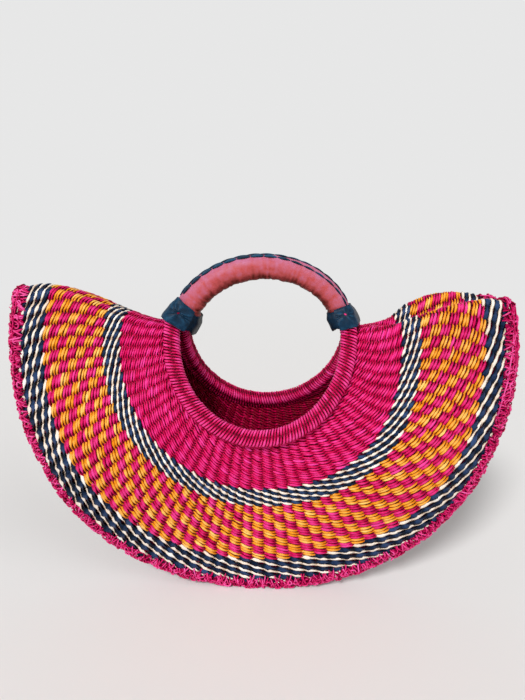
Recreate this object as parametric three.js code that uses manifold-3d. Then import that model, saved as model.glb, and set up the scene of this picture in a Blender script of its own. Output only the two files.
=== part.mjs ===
import * as THREE from 'three';
import { mergeVertices } from 'three/addons/utils/BufferGeometryUtils.js';
import Module from 'manifold-3d';

// A half-moon basket bag. One round of twined straw, woven outward from a wrapped mouth hoop over
// radial stakes, is folded in half, so that the round lower edges of its two walls meet in one plait.
// The courses run on over both shoulders. An arch handle stands on the two ends of the mouth.
// Millimetres. X runs along the basket, Y from its front wall (negative) to its back, Z is up.
// The origin is under the middle, on the surface that the plait stands on.

// Clearances
const seat_gap = 0.3;
const course_gap = 0.35;
const wall_seat_gap = 0.5;
const cut_depth = 6;

// Outline of the round lower edge, to the outside of the plait
const rim_half_width = 238;
const rim_bottom_radius = 228;
const rim_square_share = 0.02;
const wing_angle = 110;
const base_cut = 1.5;

// Mouth: a front and a back half hoop of bundled grass, each wrapped in straw
const mouth_half_width = 80;
const mouth_drop = 83;
const mouth_centre_height = 270;
const mouth_half_opening = 49;
const mouth_shift = -4;
const hoop_radius = 8.75;
const hoop_core_radius = 5.8;
const hoop_end_angle = 98;
const hoop_side_gap = 0.3;

// Woven walls
const wall_thickness = 4;
const wall_edge_offset = 4.6;
const wall_top_angle = 90;
const side_belly = 22;
const belly_peak_share = 0.62;
const shoulder_start_share = 0.55;
const lip_start_share = 0.78;

// Rows lie nearer the hoops than even spacing puts them, most of all in the two lower corners
const row_pull_share = 0.043;
const left_row_pull_share = 0.144;
const right_row_pull_share = 0.062;
const row_pull_skew = 2;

// Shoulders, where the courses turn over from one wall to the other
const left_shoulder_half_width = 9;
const right_shoulder_half_width = 11;
const left_shoulder_rise = 10;
const right_shoulder_rise = 10;
const shoulder_ridge_radius = 5.5;
const left_low_rise_share = -0.8;
const left_high_rise_share = 1.2;
const right_low_rise_share = -0.2;
const right_high_rise_share = 1.4;
const right_low_half_share = 0.2;
const right_high_half_share = 1.2;
const right_tuck_depth = 19;
const tuck_rim_share = 0.7;
const tuck_power = 6;
const right_front_lip_out = 7;
const right_back_lip_out = 15;
const right_back_lip_in = 10;

// Courses, as shares of the woven width between the hoop and the plait
const pink_band_share = 0.295;
const inner_stripe_end_share = 0.42;
const check_end_share = 0.84;
const stripe_course_count = 6;
const check_course_count = 7;
const pink_band_row_count = 3;

// Plaited edge
const plait_width = 12.5;
const plait_half_thickness = 5.2;
const plait_lip_half_thickness = 1.6;
const plait_lip_gap = 0.6;
const plait_lip_width = 11.5;
const plait_shoulder_share = 0.62;
const plait_crest_share = 0.5;

// Arch handle: a grass core in a stitched leather cover
const arch_half_width = 72;
const arch_rise = 58;
const arch_centre_height = 274;
const arch_radius = 11.5;
const leather_thickness = 1.8;
const arch_foot_height = 287.5;

// Leather collars over the joints of arch and hoops
const collar_foot_half_width = 16.5;
const collar_foot_half_depth = 21.5;
const collar_top_half_width = 13.8;
const collar_top_half_depth = 14.2;
const collar_foot_inset = 5;
const collar_foot_angle = 94.5;
const collar_top_share = 0.075;
const collar_hem_share = 0.95;
const collar_corner_share = 0.66;
const collar_station_shares = [0, 0.15, 0.5, 0.85, 1];
const collar_hem_power = 4;
const hoop_bore_start_share = 0.75;
const shoulder_room_share = 0.3;
const room_lead_share = 0.02;
const bore_overreach_share = 0.008;

// Lacing along the seam on the outside of the handle
const stitch_count = 32;
const stitch_half_angle = 15;
const seam_left_angle = 12;
const seam_right_angle = -24;
const thong_radius = 1.1;
const lacing_end_share = 0.11;
const lacing_clear_share = 0.965;

// Facets
const face_step_count = 18;
const right_fold_step_count = 8;
const left_fold_step_count = 6;
const hoop_step_count = 18;
const arch_step_count = 18;
const tube_side_count = 10;
const collar_bore_step_count = 8;
const collar_side_count = 16;
const stitch_step_count = 3;
const thong_side_count = 5;
const probe_share = 0.004;

// Finishes
const finishes = {
  pink: { color: 0xc2184f, roughness: 0.6 },
  wrap: { color: 0xb8154a, roughness: 0.6 },
  cream: { color: 0xe9dcc0, roughness: 0.7 },
  navy: { color: 0x1c2436, roughness: 0.5 },
  orange: { color: 0xe08a1c, roughness: 0.7 },
  check: { color: 0xd0562c, roughness: 0.7 },
  grass: { color: 0xc9a86a, roughness: 0.9 },
  leather: { color: 0xb8503f, roughness: 0.5 },
  thong: { color: 0x17171b, roughness: 0.5 },
};

const radians = THREE.MathUtils.degToRad;
const clamp = THREE.MathUtils.clamp;
const lerp = THREE.MathUtils.lerp;
const { PI, sin, cos, abs, sqrt } = Math;
const front = -1;
const back = 1;

const wasm = await Module();
wasm.setup();

// Helpers

// An S-shaped step from 0 to 1
function ease(x) {
  const k = clamp(x, 0, 1);
  return k * k * (3 - 2 * k);
}

function vector(x, y, z) {
  return new THREE.Vector3(x, y, z);
}

function solidVolume(geometry) {
  const index = geometry.index.array;
  const place = geometry.attributes.position;
  const corners = [vector(0, 0, 0), vector(0, 0, 0), vector(0, 0, 0)];
  let volume = 0;
  for (let i = 0; i < index.length; i += 3) {
    corners.forEach((corner, k) => corner.fromBufferAttribute(place, index[i + k]));
    volume += corners[0].dot(corners[1].clone().cross(corners[2]));
  }
  return volume;
}

// A closed body through a row of outlines with the same number of points. A ring joins its last
// outline to its first. A bar gets a flat end at both. The first half of each outline and the
// second are split by opposite diagonals, so that twisted neighbours meet edge to edge.
function loft(outlines, isRing) {
  const side = outlines[0].length;
  const positions = outlines.flat().flatMap((p) => [p.x, p.y, p.z]);
  const index = [];
  const spans = isRing ? outlines.length : outlines.length - 1;
  for (let i = 0; i < spans; i += 1) {
    const here = i * side;
    const next = ((i + 1) % outlines.length) * side;
    for (let k = 0; k < side; k += 1) {
      const after = (k + 1) % side;
      if (k < side / 2) {
        index.push(here + k, here + after, next + after, here + k, next + after, next + k);
      } else {
        index.push(here + k, here + after, next + k, here + after, next + after, next + k);
      }
    }
  }
  if (!isRing) {
    const last = (outlines.length - 1) * side;
    for (let k = 1; k < side - 1; k += 1) {
      index.push(0, k + 1, k, last, last + k, last + k + 1);
    }
  }
  const geometry = new THREE.BufferGeometry();
  geometry.setAttribute('position', new THREE.Float32BufferAttribute(positions, 3));
  geometry.setIndex(index);
  if (solidVolume(geometry) < 0) geometry.setIndex(index.reverse());
  return geometry;
}

function toSolid(geometry) {
  const bare = geometry.clone();
  bare.deleteAttribute('normal');
  bare.deleteAttribute('uv');
  const merged = mergeVertices(bare);
  return new wasm.Manifold(new wasm.Mesh({
    numProp: 3,
    vertProperties: new Float32Array(merged.attributes.position.array),
    triVerts: new Uint32Array(merged.index.array),
  }));
}

function fromSolid(solid) {
  const mesh = solid.getMesh();
  const geometry = new THREE.BufferGeometry();
  geometry.setAttribute('position', new THREE.BufferAttribute(mesh.vertProperties, 3));
  geometry.setIndex(new THREE.BufferAttribute(mesh.triVerts, 1));
  return geometry;
}

// A round section, hollow where a bore is given, carried along a path
function tube(path, radius, bore, steps) {
  const section = new THREE.Shape(ringOfPoints(radius, tube_side_count));
  if (bore > 0) section.holes.push(new THREE.Path(ringOfPoints(bore, tube_side_count)));
  return new THREE.ExtrudeGeometry(section, { steps, extrudePath: path, bevelEnabled: false });
}

function ringOfPoints(radius, count) {
  const points = [];
  for (let k = 0; k < count; k += 1) {
    const turn = (2 * PI * k) / count;
    points.push(new THREE.Vector2(radius * cos(turn), radius * sin(turn)));
  }
  return points;
}

// A curve given by a function of a share from 0 to 1
class FormulaCurve extends THREE.Curve {
  constructor(place) {
    super();
    this.place = place;
  }

  getPoint(share, target = new THREE.Vector3()) {
    return target.copy(this.place(share));
  }
}

// Mouth and handle lines

const hoop_end_offset = hoop_radius + hoop_side_gap / 2;
const hoop_end_height = mouth_centre_height - mouth_drop * cos(radians(hoop_end_angle));
const hoop_low_height = mouth_centre_height - mouth_drop;

// Centre line of a half hoop. The angle runs from the lowest point, negative to the left.
function hoopPoint(angle, side) {
  const x = mouth_shift + mouth_half_width * sin(angle);
  const z = mouth_centre_height - mouth_drop * cos(angle);
  const depth = (hoop_end_height - z) / (hoop_end_height - hoop_low_height);
  return vector(x, side * lerp(hoop_end_offset, mouth_half_opening, depth), z);
}

// The two half hoops share their ends, side by side inside the collars
function hoopCurve(side) {
  const reach = radians(hoop_end_angle);
  return new FormulaCurve((share) => hoopPoint(lerp(-reach, reach, share), side));
}

const arch_foot_angle = Math.asin((arch_foot_height - arch_centre_height) / arch_rise);

function archPoint(share) {
  const angle = lerp(PI - arch_foot_angle, arch_foot_angle, share);
  const x = arch_half_width * cos(angle);
  return vector(x, 0, arch_centre_height + arch_rise * sin(angle));
}

const archCurve = new FormulaCurve(archPoint);

// Wall surface

const wall_reach = radians(wall_top_angle);
const wing_reach = radians(wing_angle);
const chord_sag = (mouth_half_width + hoop_radius) * (1 - cos(wall_reach / face_step_count));

// Outside of the plait. t runs from the left wing tip, under the basket, to the right one.
function rimPoint(t, side) {
  const angle = lerp(-wing_reach, wing_reach, t);
  const swell = 1 + (rim_square_share * (1 - cos(4 * angle))) / 2;
  const x = rim_half_width * swell * sin(angle);
  const z = rim_bottom_radius * (1 - swell * cos(angle)) - base_cut;
  const lip = t > 0.5 ? ease((abs(2 * t - 1) - lip_start_share) / (1 - lip_start_share)) : 0;
  const out = side === front ? right_front_lip_out : right_back_lip_out;
  const inward = side === front ? 0 : right_back_lip_in;
  return vector(x - lip * inward, side * (wall_edge_offset + lip * out), z);
}

// How far a wall stands out of the straight line between hoop and plait
function wallBulge(t, s) {
  const away = abs(2 * t - 1);
  const fold = ease((away - shoulder_start_share) / (1 - shoulder_start_share));
  const isLeft = t < 0.5;
  const leftRise = left_shoulder_rise * lerp(left_low_rise_share, left_high_rise_share, s);
  const rightRise = right_shoulder_rise * lerp(right_low_rise_share, right_high_rise_share, s);
  const rightHalf = right_shoulder_half_width * lerp(right_low_half_share, right_high_half_share, s);
  const half = isLeft ? left_shoulder_half_width : rightHalf;
  const spread = (away - belly_peak_share) / belly_peak_share;
  const belly = side_belly * ease(1 - abs(spread));
  return { out: lerp(belly, half, fold), up: (isLeft ? leftRise : rightRise) * fold };
}

// s runs from the hoop (0) to the plait (1)
function facePoint(t, s, side) {
  const angle = lerp(-wall_reach, wall_reach, t);
  const hoop = hoopPoint(angle, side);
  const rim = rimPoint(t, side);
  const run = rim.clone().sub(hoop).normalize();
  const along = hoopPoint(angle + probe_share, side).sub(hoopPoint(angle - probe_share, side));
  const outward = run.clone().projectOnPlane(along.normalize()).normalize();
  const start = hoop.addScaledVector(outward, hoop_radius + wall_seat_gap + chord_sag);
  const end = rim.addScaledVector(run, -plait_width);
  const bulge = wallBulge(t, s);
  const bow = 4 * s * (1 - s);
  const place = start.lerp(end, s);
  place.y += side * bulge.out * bow;
  place.z += bulge.up * bow;
  return place;
}

// Over a shoulder, from the front ridge (0) to the back ridge (1). The right one is tucked in.
function foldPoint(v, s, isRight) {
  const t = isRight ? 1 : 0;
  const near = facePoint(t, s, front);
  const far = facePoint(t, s, back);
  const half = (far.y - near.y) / 2;
  const crown = sqrt(shoulder_ridge_radius * half);
  const depth = ease(2 * s) * lerp(1, tuck_rim_share, ease(2 * s - 1));
  const tuck = isRight ? (crown + right_tuck_depth) * depth : 0;
  const place = near.lerp(far, (1 - cos(PI * v)) / 2);
  place.z += crown * sin(PI * v) - tuck * sin(PI * v) ** tuck_power;
  return place;
}

// Where a row lies on its way from the hoop (0) to the plait (1)
function rowShare(t, s) {
  const corner = (t < 0.5 ? left_row_pull_share : right_row_pull_share) * sin(2 * PI * t) ** 2;
  return s - (row_pull_share + corner) * s * (1 - s) * (1 + row_pull_skew * s);
}

// The whole loop of a course: 0 to 1 front wall, 1 to 2 right shoulder, 2 to 3 back, 3 to 4 left
function wallPoint(c, s) {
  const turn = ((c % 4) + 4) % 4;
  const piece = Math.floor(turn);
  const v = turn - piece;
  if (piece === 0) return facePoint(v, rowShare(v, s), front);
  if (piece === 1) return foldPoint(v, rowShare(1, s), true);
  if (piece === 2) return facePoint(1 - v, rowShare(1 - v, s), back);
  return foldPoint(1 - v, rowShare(0, s), false);
}

function wallFrame(c, s) {
  const along = wallPoint(c + probe_share, s).sub(wallPoint(c - probe_share, s));
  const away = wallPoint(c, s + probe_share).sub(wallPoint(c, s - probe_share));
  const out = away.clone().cross(along).normalize();
  return { place: wallPoint(c, s), out, away: away.normalize() };
}

function spacedColumns(faceSteps) {
  const columns = [];
  const steps = [faceSteps, right_fold_step_count, faceSteps, left_fold_step_count];
  steps.forEach((count, piece) => {
    for (let k = 0; k < count; k += 1) columns.push(piece + k / count);
  });
  return columns;
}

const columns = spacedColumns(face_step_count);
const woven_width = wallPoint(0.5, 0).distanceTo(wallPoint(0.5, 1));
const course_gap_share = course_gap / woven_width;

// One course, or a band of them, as a closed loop of the wall's thickness
function courseGeometry(from, to, rows) {
  const shares = [];
  for (let k = 0; k <= rows; k += 1) {
    shares.push(lerp(from + course_gap_share / 2, to - course_gap_share / 2, k / rows));
  }
  const outlines = columns.map((c) => {
    const frames = shares.map((s) => wallFrame(c, s));
    const outer = frames.map((f) => f.place.clone().addScaledVector(f.out, wall_thickness / 2));
    const inner = frames.map((f) => f.place.clone().addScaledVector(f.out, -wall_thickness / 2));
    return outer.concat(inner.reverse());
  });
  return loft(outlines, true);
}

// Plaited edge

// Half of the plait, from the middle of one shoulder, along one wall's edge, to the middle of the
// other. Its stations are the columns of the courses, with one more between them where it is full.
// Towards the tips it thins to the lip of the wall.
function plaitHalf(start, stepsBefore, stepsAfter) {
  const outlines = [];
  const stations = [];
  for (let k = -stepsBefore / 2; k <= 0; k += 1) stations.push(start + k / stepsBefore);
  for (let k = 1; k < face_step_count; k += 1) {
    stations.push(start + k / face_step_count);
    const isFull = k > 1 && k < face_step_count - 2;
    if (isFull) stations.push(start + (k + 0.5) / face_step_count);
  }
  for (let k = 0; k <= stepsAfter / 2; k += 1) stations.push(start + 1 + k / stepsAfter);
  for (const c of stations) {
    const frame = wallFrame(c, 1);
    const toTip = 1 - abs(2 * (c - start) - 1);
    const full = ease(toTip / (1 - lip_start_share));
    const half = lerp(plait_lip_half_thickness, plait_half_thickness, full);
    const seat = lerp(plait_lip_gap, seat_gap, full);
    const width = lerp(plait_lip_width, plait_width, full);
    const shoulder = width * plait_shoulder_share;
    const at = (reach, height) => frame.place.clone()
      .addScaledVector(frame.away, reach)
      .addScaledVector(frame.out, height);
    outlines.push([
      at(seat, half),
      at(seat, -half),
      at(shoulder, -half),
      at(width, -half * plait_crest_share),
      at(width, half * plait_crest_share),
      at(shoulder, half),
    ]);
  }
  return toSolid(loft(outlines, false));
}

// The two halves meet under the basket and at the tips, and the whole is cut flat to stand on
function plaitGeometry() {
  const nearHalf = plaitHalf(0, left_fold_step_count, right_fold_step_count);
  const farHalf = plaitHalf(2, right_fold_step_count, left_fold_step_count);
  const joined = nearHalf.add(farHalf);
  const size = rim_half_width * 2;
  const slab = new THREE.BoxGeometry(size, size, cut_depth);
  slab.translate(0, 0, -cut_depth / 2);
  return fromSolid(joined.subtract(toSolid(slab)));
}

// Collars

// Corners of a squarish outline, one share of its half width and half depth each
function roundedOutline(place, across, halfWidth, halfDepth) {
  const points = [];
  for (let k = 0; k < collar_side_count; k += 1) {
    const turn = (2 * PI * (k + 0.5)) / collar_side_count;
    const x = Math.sign(cos(turn)) * abs(cos(turn)) ** collar_corner_share;
    const y = Math.sign(sin(turn)) * abs(sin(turn)) ** collar_corner_share;
    const point = place.clone().addScaledVector(across, x * halfWidth);
    points.push(point.add(vector(0, y * halfDepth, 0)));
  }
  return points;
}

// Bound leather, wide round the two hoop ends and drawn in to the foot of the arch above them
function collarBody(hand) {
  const foot = hoopPoint(hand * radians(collar_foot_angle), front);
  foot.set(foot.x - hand * collar_foot_inset, 0, foot.z);
  const top = archPoint(hand < 0 ? collar_top_share : 1 - collar_top_share);
  const axis = top.clone().sub(foot).normalize();
  const across = vector(axis.z, 0, -axis.x);
  const outlines = collar_station_shares.map((share) => {
    const drawn = 1 - (1 - collar_hem_share) * abs(2 * share - 1) ** collar_hem_power;
    return roundedOutline(
      foot.clone().lerp(top, share),
      across,
      drawn * lerp(collar_foot_half_width, collar_top_half_width, share),
      drawn * lerp(collar_foot_half_depth, collar_top_half_depth, share),
    );
  });
  return toSolid(loft(outlines, false));
}

// The radius at which a faceted bore clears a faceted tube, however the two are turned
function clearRadius(radius) {
  return (radius + seat_gap) / cos(PI / tube_side_count);
}

// Room for the woven shoulder, a little thicker than the wall itself
function shoulderRoom(hand) {
  const middle = hand < 0 ? 3.5 : 1.5;
  const laps = columns.concat(columns.map((c) => c + 4));
  const near = laps.filter((c) => abs(c - middle) < 0.5 + shoulder_room_share);
  const deep = wall_thickness / 2 + seat_gap;
  const outlines = near.map((c) => {
    const frames = [wallFrame(c, -room_lead_share)];
    for (let k = 0; k <= pink_band_row_count; k += 1) {
      const s = lerp(course_gap_share / 2, pink_band_share, k / pink_band_row_count);
      frames.push(wallFrame(c, s));
    }
    const outer = frames.map((f) => f.place.clone().addScaledVector(f.out, deep));
    const inner = frames.map((f) => f.place.clone().addScaledVector(f.out, -deep));
    return outer.concat(inner.reverse());
  });
  return toSolid(loft(outlines, false));
}

// The collar is open where the arch, the two hoops and the woven shoulder pass into it
function collarGeometry(hand) {
  const reach = hand * radians(hoop_end_angle);
  const overreach = 1 + bore_overreach_share;
  const foot = hand < 0 ? 0 : 1;
  let solid = collarBody(hand);
  for (const side of [front, back]) {
    const hoopEnd = new FormulaCurve((share) => {
      return hoopPoint(reach * lerp(hoop_bore_start_share, overreach, share), side);
    });
    const room = tube(hoopEnd, clearRadius(hoop_radius), 0, collar_bore_step_count);
    solid = solid.subtract(toSolid(room));
  }
  const below = foot + (foot - 0.5) * 2 * (overreach - 1);
  const arm = new FormulaCurve((share) => archPoint(lerp(below, 0.5, share / 2)));
  const room = tube(arm, clearRadius(arch_radius), 0, collar_bore_step_count);
  return fromSolid(solid.subtract(toSolid(room)).subtract(shoulderRoom(hand)));
}

// Lacing

// One thong whips from side to side over the seam on the outside of the arch, from collar to collar
function lacingPoint(share) {
  const spot = lerp(lacing_end_share, 1 - lacing_end_share, share);
  const along = archPoint(spot + probe_share).sub(archPoint(spot - probe_share)).normalize();
  const seam = lerp(seam_left_angle, seam_right_angle, share);
  const turn = radians(seam + stitch_half_angle * sin(PI * stitch_count * share));
  const lift = (arch_radius + seat_gap + thong_radius) / lacing_clear_share;
  const out = vector(-along.z, 0, along.x).multiplyScalar(lift * cos(turn));
  return archPoint(spot).add(out).add(vector(0, lift * sin(turn), 0));
}

function lacingGeometry() {
  const section = new THREE.Shape(ringOfPoints(thong_radius, thong_side_count));
  const extrudePath = new FormulaCurve(lacingPoint);
  const steps = stitch_count * stitch_step_count;
  return new THREE.ExtrudeGeometry(section, { steps, extrudePath, bevelEnabled: false });
}

// Assembly

const basket = new THREE.Group();

function addPiece(name, geometry, finish) {
  const mesh = new THREE.Mesh(geometry, new THREE.MeshStandardMaterial({ ...finish, metalness: 0 }));
  mesh.name = name;
  basket.add(mesh);
}

// A band of equal courses between two shares of the woven width, in turn in the finishes given
function addCourses(name, from, to, count, shades) {
  for (let k = 0; k < count; k += 1) {
    const start = lerp(from, to, k / count);
    const end = lerp(from, to, (k + 1) / count);
    addPiece(`${name}_${k + 1}`, courseGeometry(start, end, 1), shades[k % shades.length]);
  }
}

const sleeve_gap = seat_gap / cos(PI / tube_side_count);

for (const [name, side] of [['front', front], ['back', back]]) {
  const path = hoopCurve(side);
  const bore = hoop_core_radius + sleeve_gap;
  addPiece(`${name}_hoop_core`, tube(path, hoop_core_radius, 0, hoop_step_count), finishes.grass);
  addPiece(`${name}_hoop_wrap`, tube(path, hoop_radius, bore, hoop_step_count), finishes.wrap);
}

const arch_bore = arch_radius - leather_thickness;
const arch_core_radius = arch_bore - sleeve_gap;
addPiece('arch_core', tube(archCurve, arch_core_radius, 0, arch_step_count), finishes.grass);
addPiece('handle_leather', tube(archCurve, arch_radius, arch_bore, arch_step_count), finishes.leather);
addPiece('handle_lacing', lacingGeometry(), finishes.thong);
addPiece('left_collar', collarGeometry(-1), finishes.thong);
addPiece('right_collar', collarGeometry(1), finishes.thong);

const stripes = [finishes.cream, finishes.navy];
const checks = [finishes.orange, finishes.check];
addPiece('pink_band', courseGeometry(0, pink_band_share, pink_band_row_count), finishes.pink);
addCourses('inner_stripe_course', pink_band_share, inner_stripe_end_share, stripe_course_count, stripes);
addCourses('check_course', inner_stripe_end_share, check_end_share, check_course_count, checks);
addCourses('outer_stripe_course', check_end_share, 1, stripe_course_count, stripes);
addPiece('edge_plait', plaitGeometry(), finishes.pink);

export default basket;
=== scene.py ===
"""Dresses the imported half-moon basket.

Twined straw walls, wound mouth hoops, a plaited edge, and an arch handle of laced leather with two
leather collars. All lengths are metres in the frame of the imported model.

The leather cover and the collars are made with bpy.ops. Straws, stems and the thong are swept along
their own routes in mesh code, because no modelling operator twines two straws round a stake.
"""

import logging
import math
from dataclasses import dataclass, field
from enum import Enum

import bpy
import numpy as np
from mathutils import Matrix, Vector


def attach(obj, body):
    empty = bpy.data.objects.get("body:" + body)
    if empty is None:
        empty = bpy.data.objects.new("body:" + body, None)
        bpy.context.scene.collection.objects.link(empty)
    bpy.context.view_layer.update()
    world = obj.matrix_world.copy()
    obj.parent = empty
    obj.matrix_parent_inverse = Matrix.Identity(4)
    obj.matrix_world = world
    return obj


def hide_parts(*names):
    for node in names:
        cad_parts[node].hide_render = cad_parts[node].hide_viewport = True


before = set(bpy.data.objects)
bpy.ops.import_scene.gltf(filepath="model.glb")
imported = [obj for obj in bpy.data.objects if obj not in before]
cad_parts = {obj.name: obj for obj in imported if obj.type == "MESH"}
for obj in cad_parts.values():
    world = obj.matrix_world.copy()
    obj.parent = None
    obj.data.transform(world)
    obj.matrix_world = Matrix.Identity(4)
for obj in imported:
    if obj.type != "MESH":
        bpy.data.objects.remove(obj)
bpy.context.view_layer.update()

logging.basicConfig(level=logging.INFO, format="%(message)s")
log = logging.getLogger("basket")

Array = np.ndarray
Pair = tuple[float, float]
Triple = tuple[float, float, float]
Rgb = tuple[int, int, int]
Colour = tuple[float, float, float, float]
Nodes = tuple[str, ...]
Inputs = dict[int | str, object]

BODY = "root"
SEED = 20
FLOOR_CLEARANCE = 0.0003
FULL_TURN = 2.0 * math.pi
STRAW_HALF_THIN = 0.0008
STAKES = 128
PINK_STAKES = 84
STEMS_ROUND_ONE = 6
SMOOTH_ANGLE = math.radians(50.0)
BACKWARD = np.array([0.0, 1.0, 0.0])


class Slot(str, Enum):
    """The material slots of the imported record."""

    PINK = "pink_straw"
    WRAPPING = "wrapping_straw"
    CREAM = "cream_straw"
    NAVY = "navy_straw"
    ORANGE = "orange_straw"
    CHECK = "check_straw"
    GRASS = "grass_bundle"
    RED_LEATHER = "red_leather"
    BLACK_LEATHER = "black_leather"


class Side(float, Enum):
    """The two walls and hoops, by the sign of their depth."""

    FRONT = -1.0
    BACK = 1.0


class Hand(float, Enum):
    """The two ends of the mouth, by the sign of their width."""

    LEFT = -1.0
    RIGHT = 1.0


class Draw(int, Enum):
    """Where the random seeds of each kind of piece start."""

    WEAVE = 0
    HOOP_WINDING = 40
    HOOP_STAKES = 50
    HOOP_STEMS = 60
    BORDER_BODY = 70
    BORDER_WHIPPING = 80
    LEATHER_CREASES = 90
    THONG = 91
    LEATHER_LINES = 92
    BORDER_ENDS = 110
    BORDER_TAILS = 130
    BORDER_LOOPS = 150


def draws(kind: Draw, number: int = 0) -> np.random.Generator:
    """Random source of one piece, the same in each run."""
    return np.random.default_rng(SEED + kind.value + number)


def ease(share: Array) -> Array:
    """Smooth step of a share from 0 to 1."""
    kept = np.clip(share, 0.0, 1.0)
    return kept * kept * (3.0 - 2.0 * kept)


def step(at: Array, start: float, end: float) -> Array:
    """Smooth step from 0 at the start to 1 at the end."""
    return ease((at - start) / (end - start))


def mix(start: Array | float, end: Array | float, share: Array) -> Array:
    """Value at a share of the way from start to end."""
    return start + (end - start) * share


def unit(vectors: Array) -> Array:
    """The same directions at length one."""
    return vectors / np.maximum(np.linalg.norm(vectors, axis=-1, keepdims=True), 1e-12)


def turned(first: Array, second: Array, angle: Array | float) -> tuple[Array, Array]:
    """Both of two crossing directions, turned from the first towards the second."""
    cos, sin = np.cos(angle)[..., None], np.sin(angle)[..., None]
    return first * cos + second * sin, second * cos - first * sin


def square_off(value: Array, power: float) -> Array:
    """A cosine or sine swollen, so that a circle drawn with it turns towards a square."""
    return np.sign(value) * np.abs(value) ** power


def slant(angle: Array) -> Array:
    """Even slide from -1 to 1 while a straw crosses a face, and back while it is behind."""
    limit = 0.96
    return np.arcsin(limit * np.sin(angle)) / math.asin(limit)


def lie_flat(centre: Array, out: Array) -> tuple[Array, Array]:
    """Directions of width and thickness of straws that lie flat on a face that looks out."""
    run = unit(np.gradient(centre, axis=-2))
    face = unit(out - run * (out * run).sum(-1, keepdims=True))
    return np.cross(run, face), face


def run_length(line: Array) -> Array:
    """Length along a line of points as far as each of them."""
    steps = np.linalg.norm(np.diff(line, axis=0), axis=-1)
    return np.concatenate([[0.0], np.cumsum(steps)])


def between(values: Array, at: Array) -> Array:
    """Values at places between numbered knots, where the last knot runs on into the first."""
    return np.interp(at, np.arange(len(values) + 1), np.append(values, values[0]))


def drift(rng: np.random.Generator, places: Array, knots: int, closed: bool) -> Array:
    """Slow random wander along a straw.

    Args:
        rng: Source of the knots' values.
        places: Shares of the way along, 0 to 1, of any shape.
        knots: Number of knots of the wander.
        closed: Whether the end runs on into the start.

    Returns:
        Values of about -1 to 1 in the shape of places.
    """
    values = rng.uniform(-1.0, 1.0, knots + 1)
    if closed:
        values[-1] = values[0]
    at = np.clip(places, 0.0, 1.0) * knots
    low = np.minimum(at.astype(int), knots - 1)
    return mix(values[low], values[low + 1], ease(at - low))


def linear(seen: Rgb) -> Colour:
    """Turns a colour of 0 to 255 as seen on a screen into Blender's linear colour."""
    parts = [part / 255.0 for part in seen]
    red, green, blue = (p / 12.92 if p <= 0.04045 else ((p + 0.055) / 1.055) ** 2.4 for p in parts)
    return red, green, blue, 1.0


def add_node(
    tree: bpy.types.NodeTree, kind: str, inputs: Inputs | None = None, **settings: object
) -> bpy.types.Node:
    """Adds a shader node.

    Args:
        tree: Node tree that it joins.
        kind: Its type, without the word ShaderNode.
        inputs: For each of its inputs, a value or the output that feeds it.
        settings: Values of its own properties.

    Returns:
        The new node.
    """
    made = tree.nodes.new(f"ShaderNode{kind}")
    for key, value in settings.items():
        setattr(made, key, value)
    for key, value in (inputs or {}).items():
        if isinstance(value, bpy.types.NodeSocket):
            tree.links.new(value, made.inputs[key])
        else:
            made.inputs[key].default_value = value
    return made


@dataclass(frozen=True)
class Finish:
    """A dyed surface: three colours on a ramp, set by a piece's own tone and a fine pattern. The
    tone holds random variation and also painted highlight and painted shade, so the ramp's pale and
    deep ends serve as painted light too.
    """

    name: str
    slot: Slot
    deep: Rgb
    body: Rgb
    pale: Rgb
    roughness: float = 0.5
    specular: float = 0.2
    body_place: float = 0.5
    spread: float = 0.9
    bump: float = 0.25
    bump_distance: float = 0.0003

    def _pattern(self, tree: bpy.types.NodeTree) -> tuple[bpy.types.NodeSocket, ...]:
        """Adds the pattern's nodes, and gives the outputs that tint and that lift the surface."""
        raise NotImplementedError

    def material(self) -> bpy.types.Material:
        """Builds the node material, or returns it if it is there already."""
        known = bpy.data.materials.get(self.name)
        if known:
            return known
        made = bpy.data.materials.new(self.name)
        made.use_nodes = True
        tree = made.node_tree
        tint, lift = self._pattern(tree)
        tone = add_node(tree, "Attribute", attribute_name="tone")
        parts = {0: tint, 1: self.spread, 2: -self.spread / 2.0}
        spread = add_node(tree, "Math", parts, operation="MULTIPLY_ADD")
        parts = {0: tone.outputs["Fac"], 1: spread.outputs[0]}
        total = add_node(tree, "Math", parts, operation="ADD", use_clamp=True)
        ramp = add_node(tree, "ValToRGB", {"Fac": total.outputs[0]})
        stops = ramp.color_ramp.elements
        stops[0].color, stops[1].color = linear(self.deep), linear(self.pale)
        stops.new(self.body_place).color = linear(self.body)
        relief = {"Strength": self.bump, "Distance": self.bump_distance, "Height": lift}
        shader = tree.nodes["Principled BSDF"]
        shader.inputs["Roughness"].default_value = self.roughness
        shader.inputs["Specular IOR Level"].default_value = self.specular
        tree.links.new(ramp.outputs["Color"], shader.inputs["Base Color"])
        tree.links.new(add_node(tree, "Bump", relief).outputs["Normal"], shader.inputs["Normal"])
        return made


@dataclass(frozen=True)
class StrawFinish(Finish):
    """Dyed straw, streaked along the fibre."""

    roughness: float = 0.40
    specular: float = 0.09
    body_place: float = 0.45
    spread: float = 0.7
    bump: float = 0.35
    bump_distance: float = 0.0004
    streaks: tuple[float, float, float] = (420.0, 9.0, 1.0)

    def _pattern(self, tree: bpy.types.NodeTree) -> tuple[bpy.types.NodeSocket, ...]:
        """Adds streaks that follow the straw's own map."""
        fibre = add_node(tree, "UVMap", uv_map="fibre").outputs["UV"]
        stretch = add_node(tree, "Mapping", {"Vector": fibre, "Scale": self.streaks})
        streak = add_node(
            tree, "TexNoise", {"Vector": stretch.outputs["Vector"], "Scale": 1.0, "Detail": 3.0}
        )
        return streak.outputs["Fac"], streak.outputs["Fac"]


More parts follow.
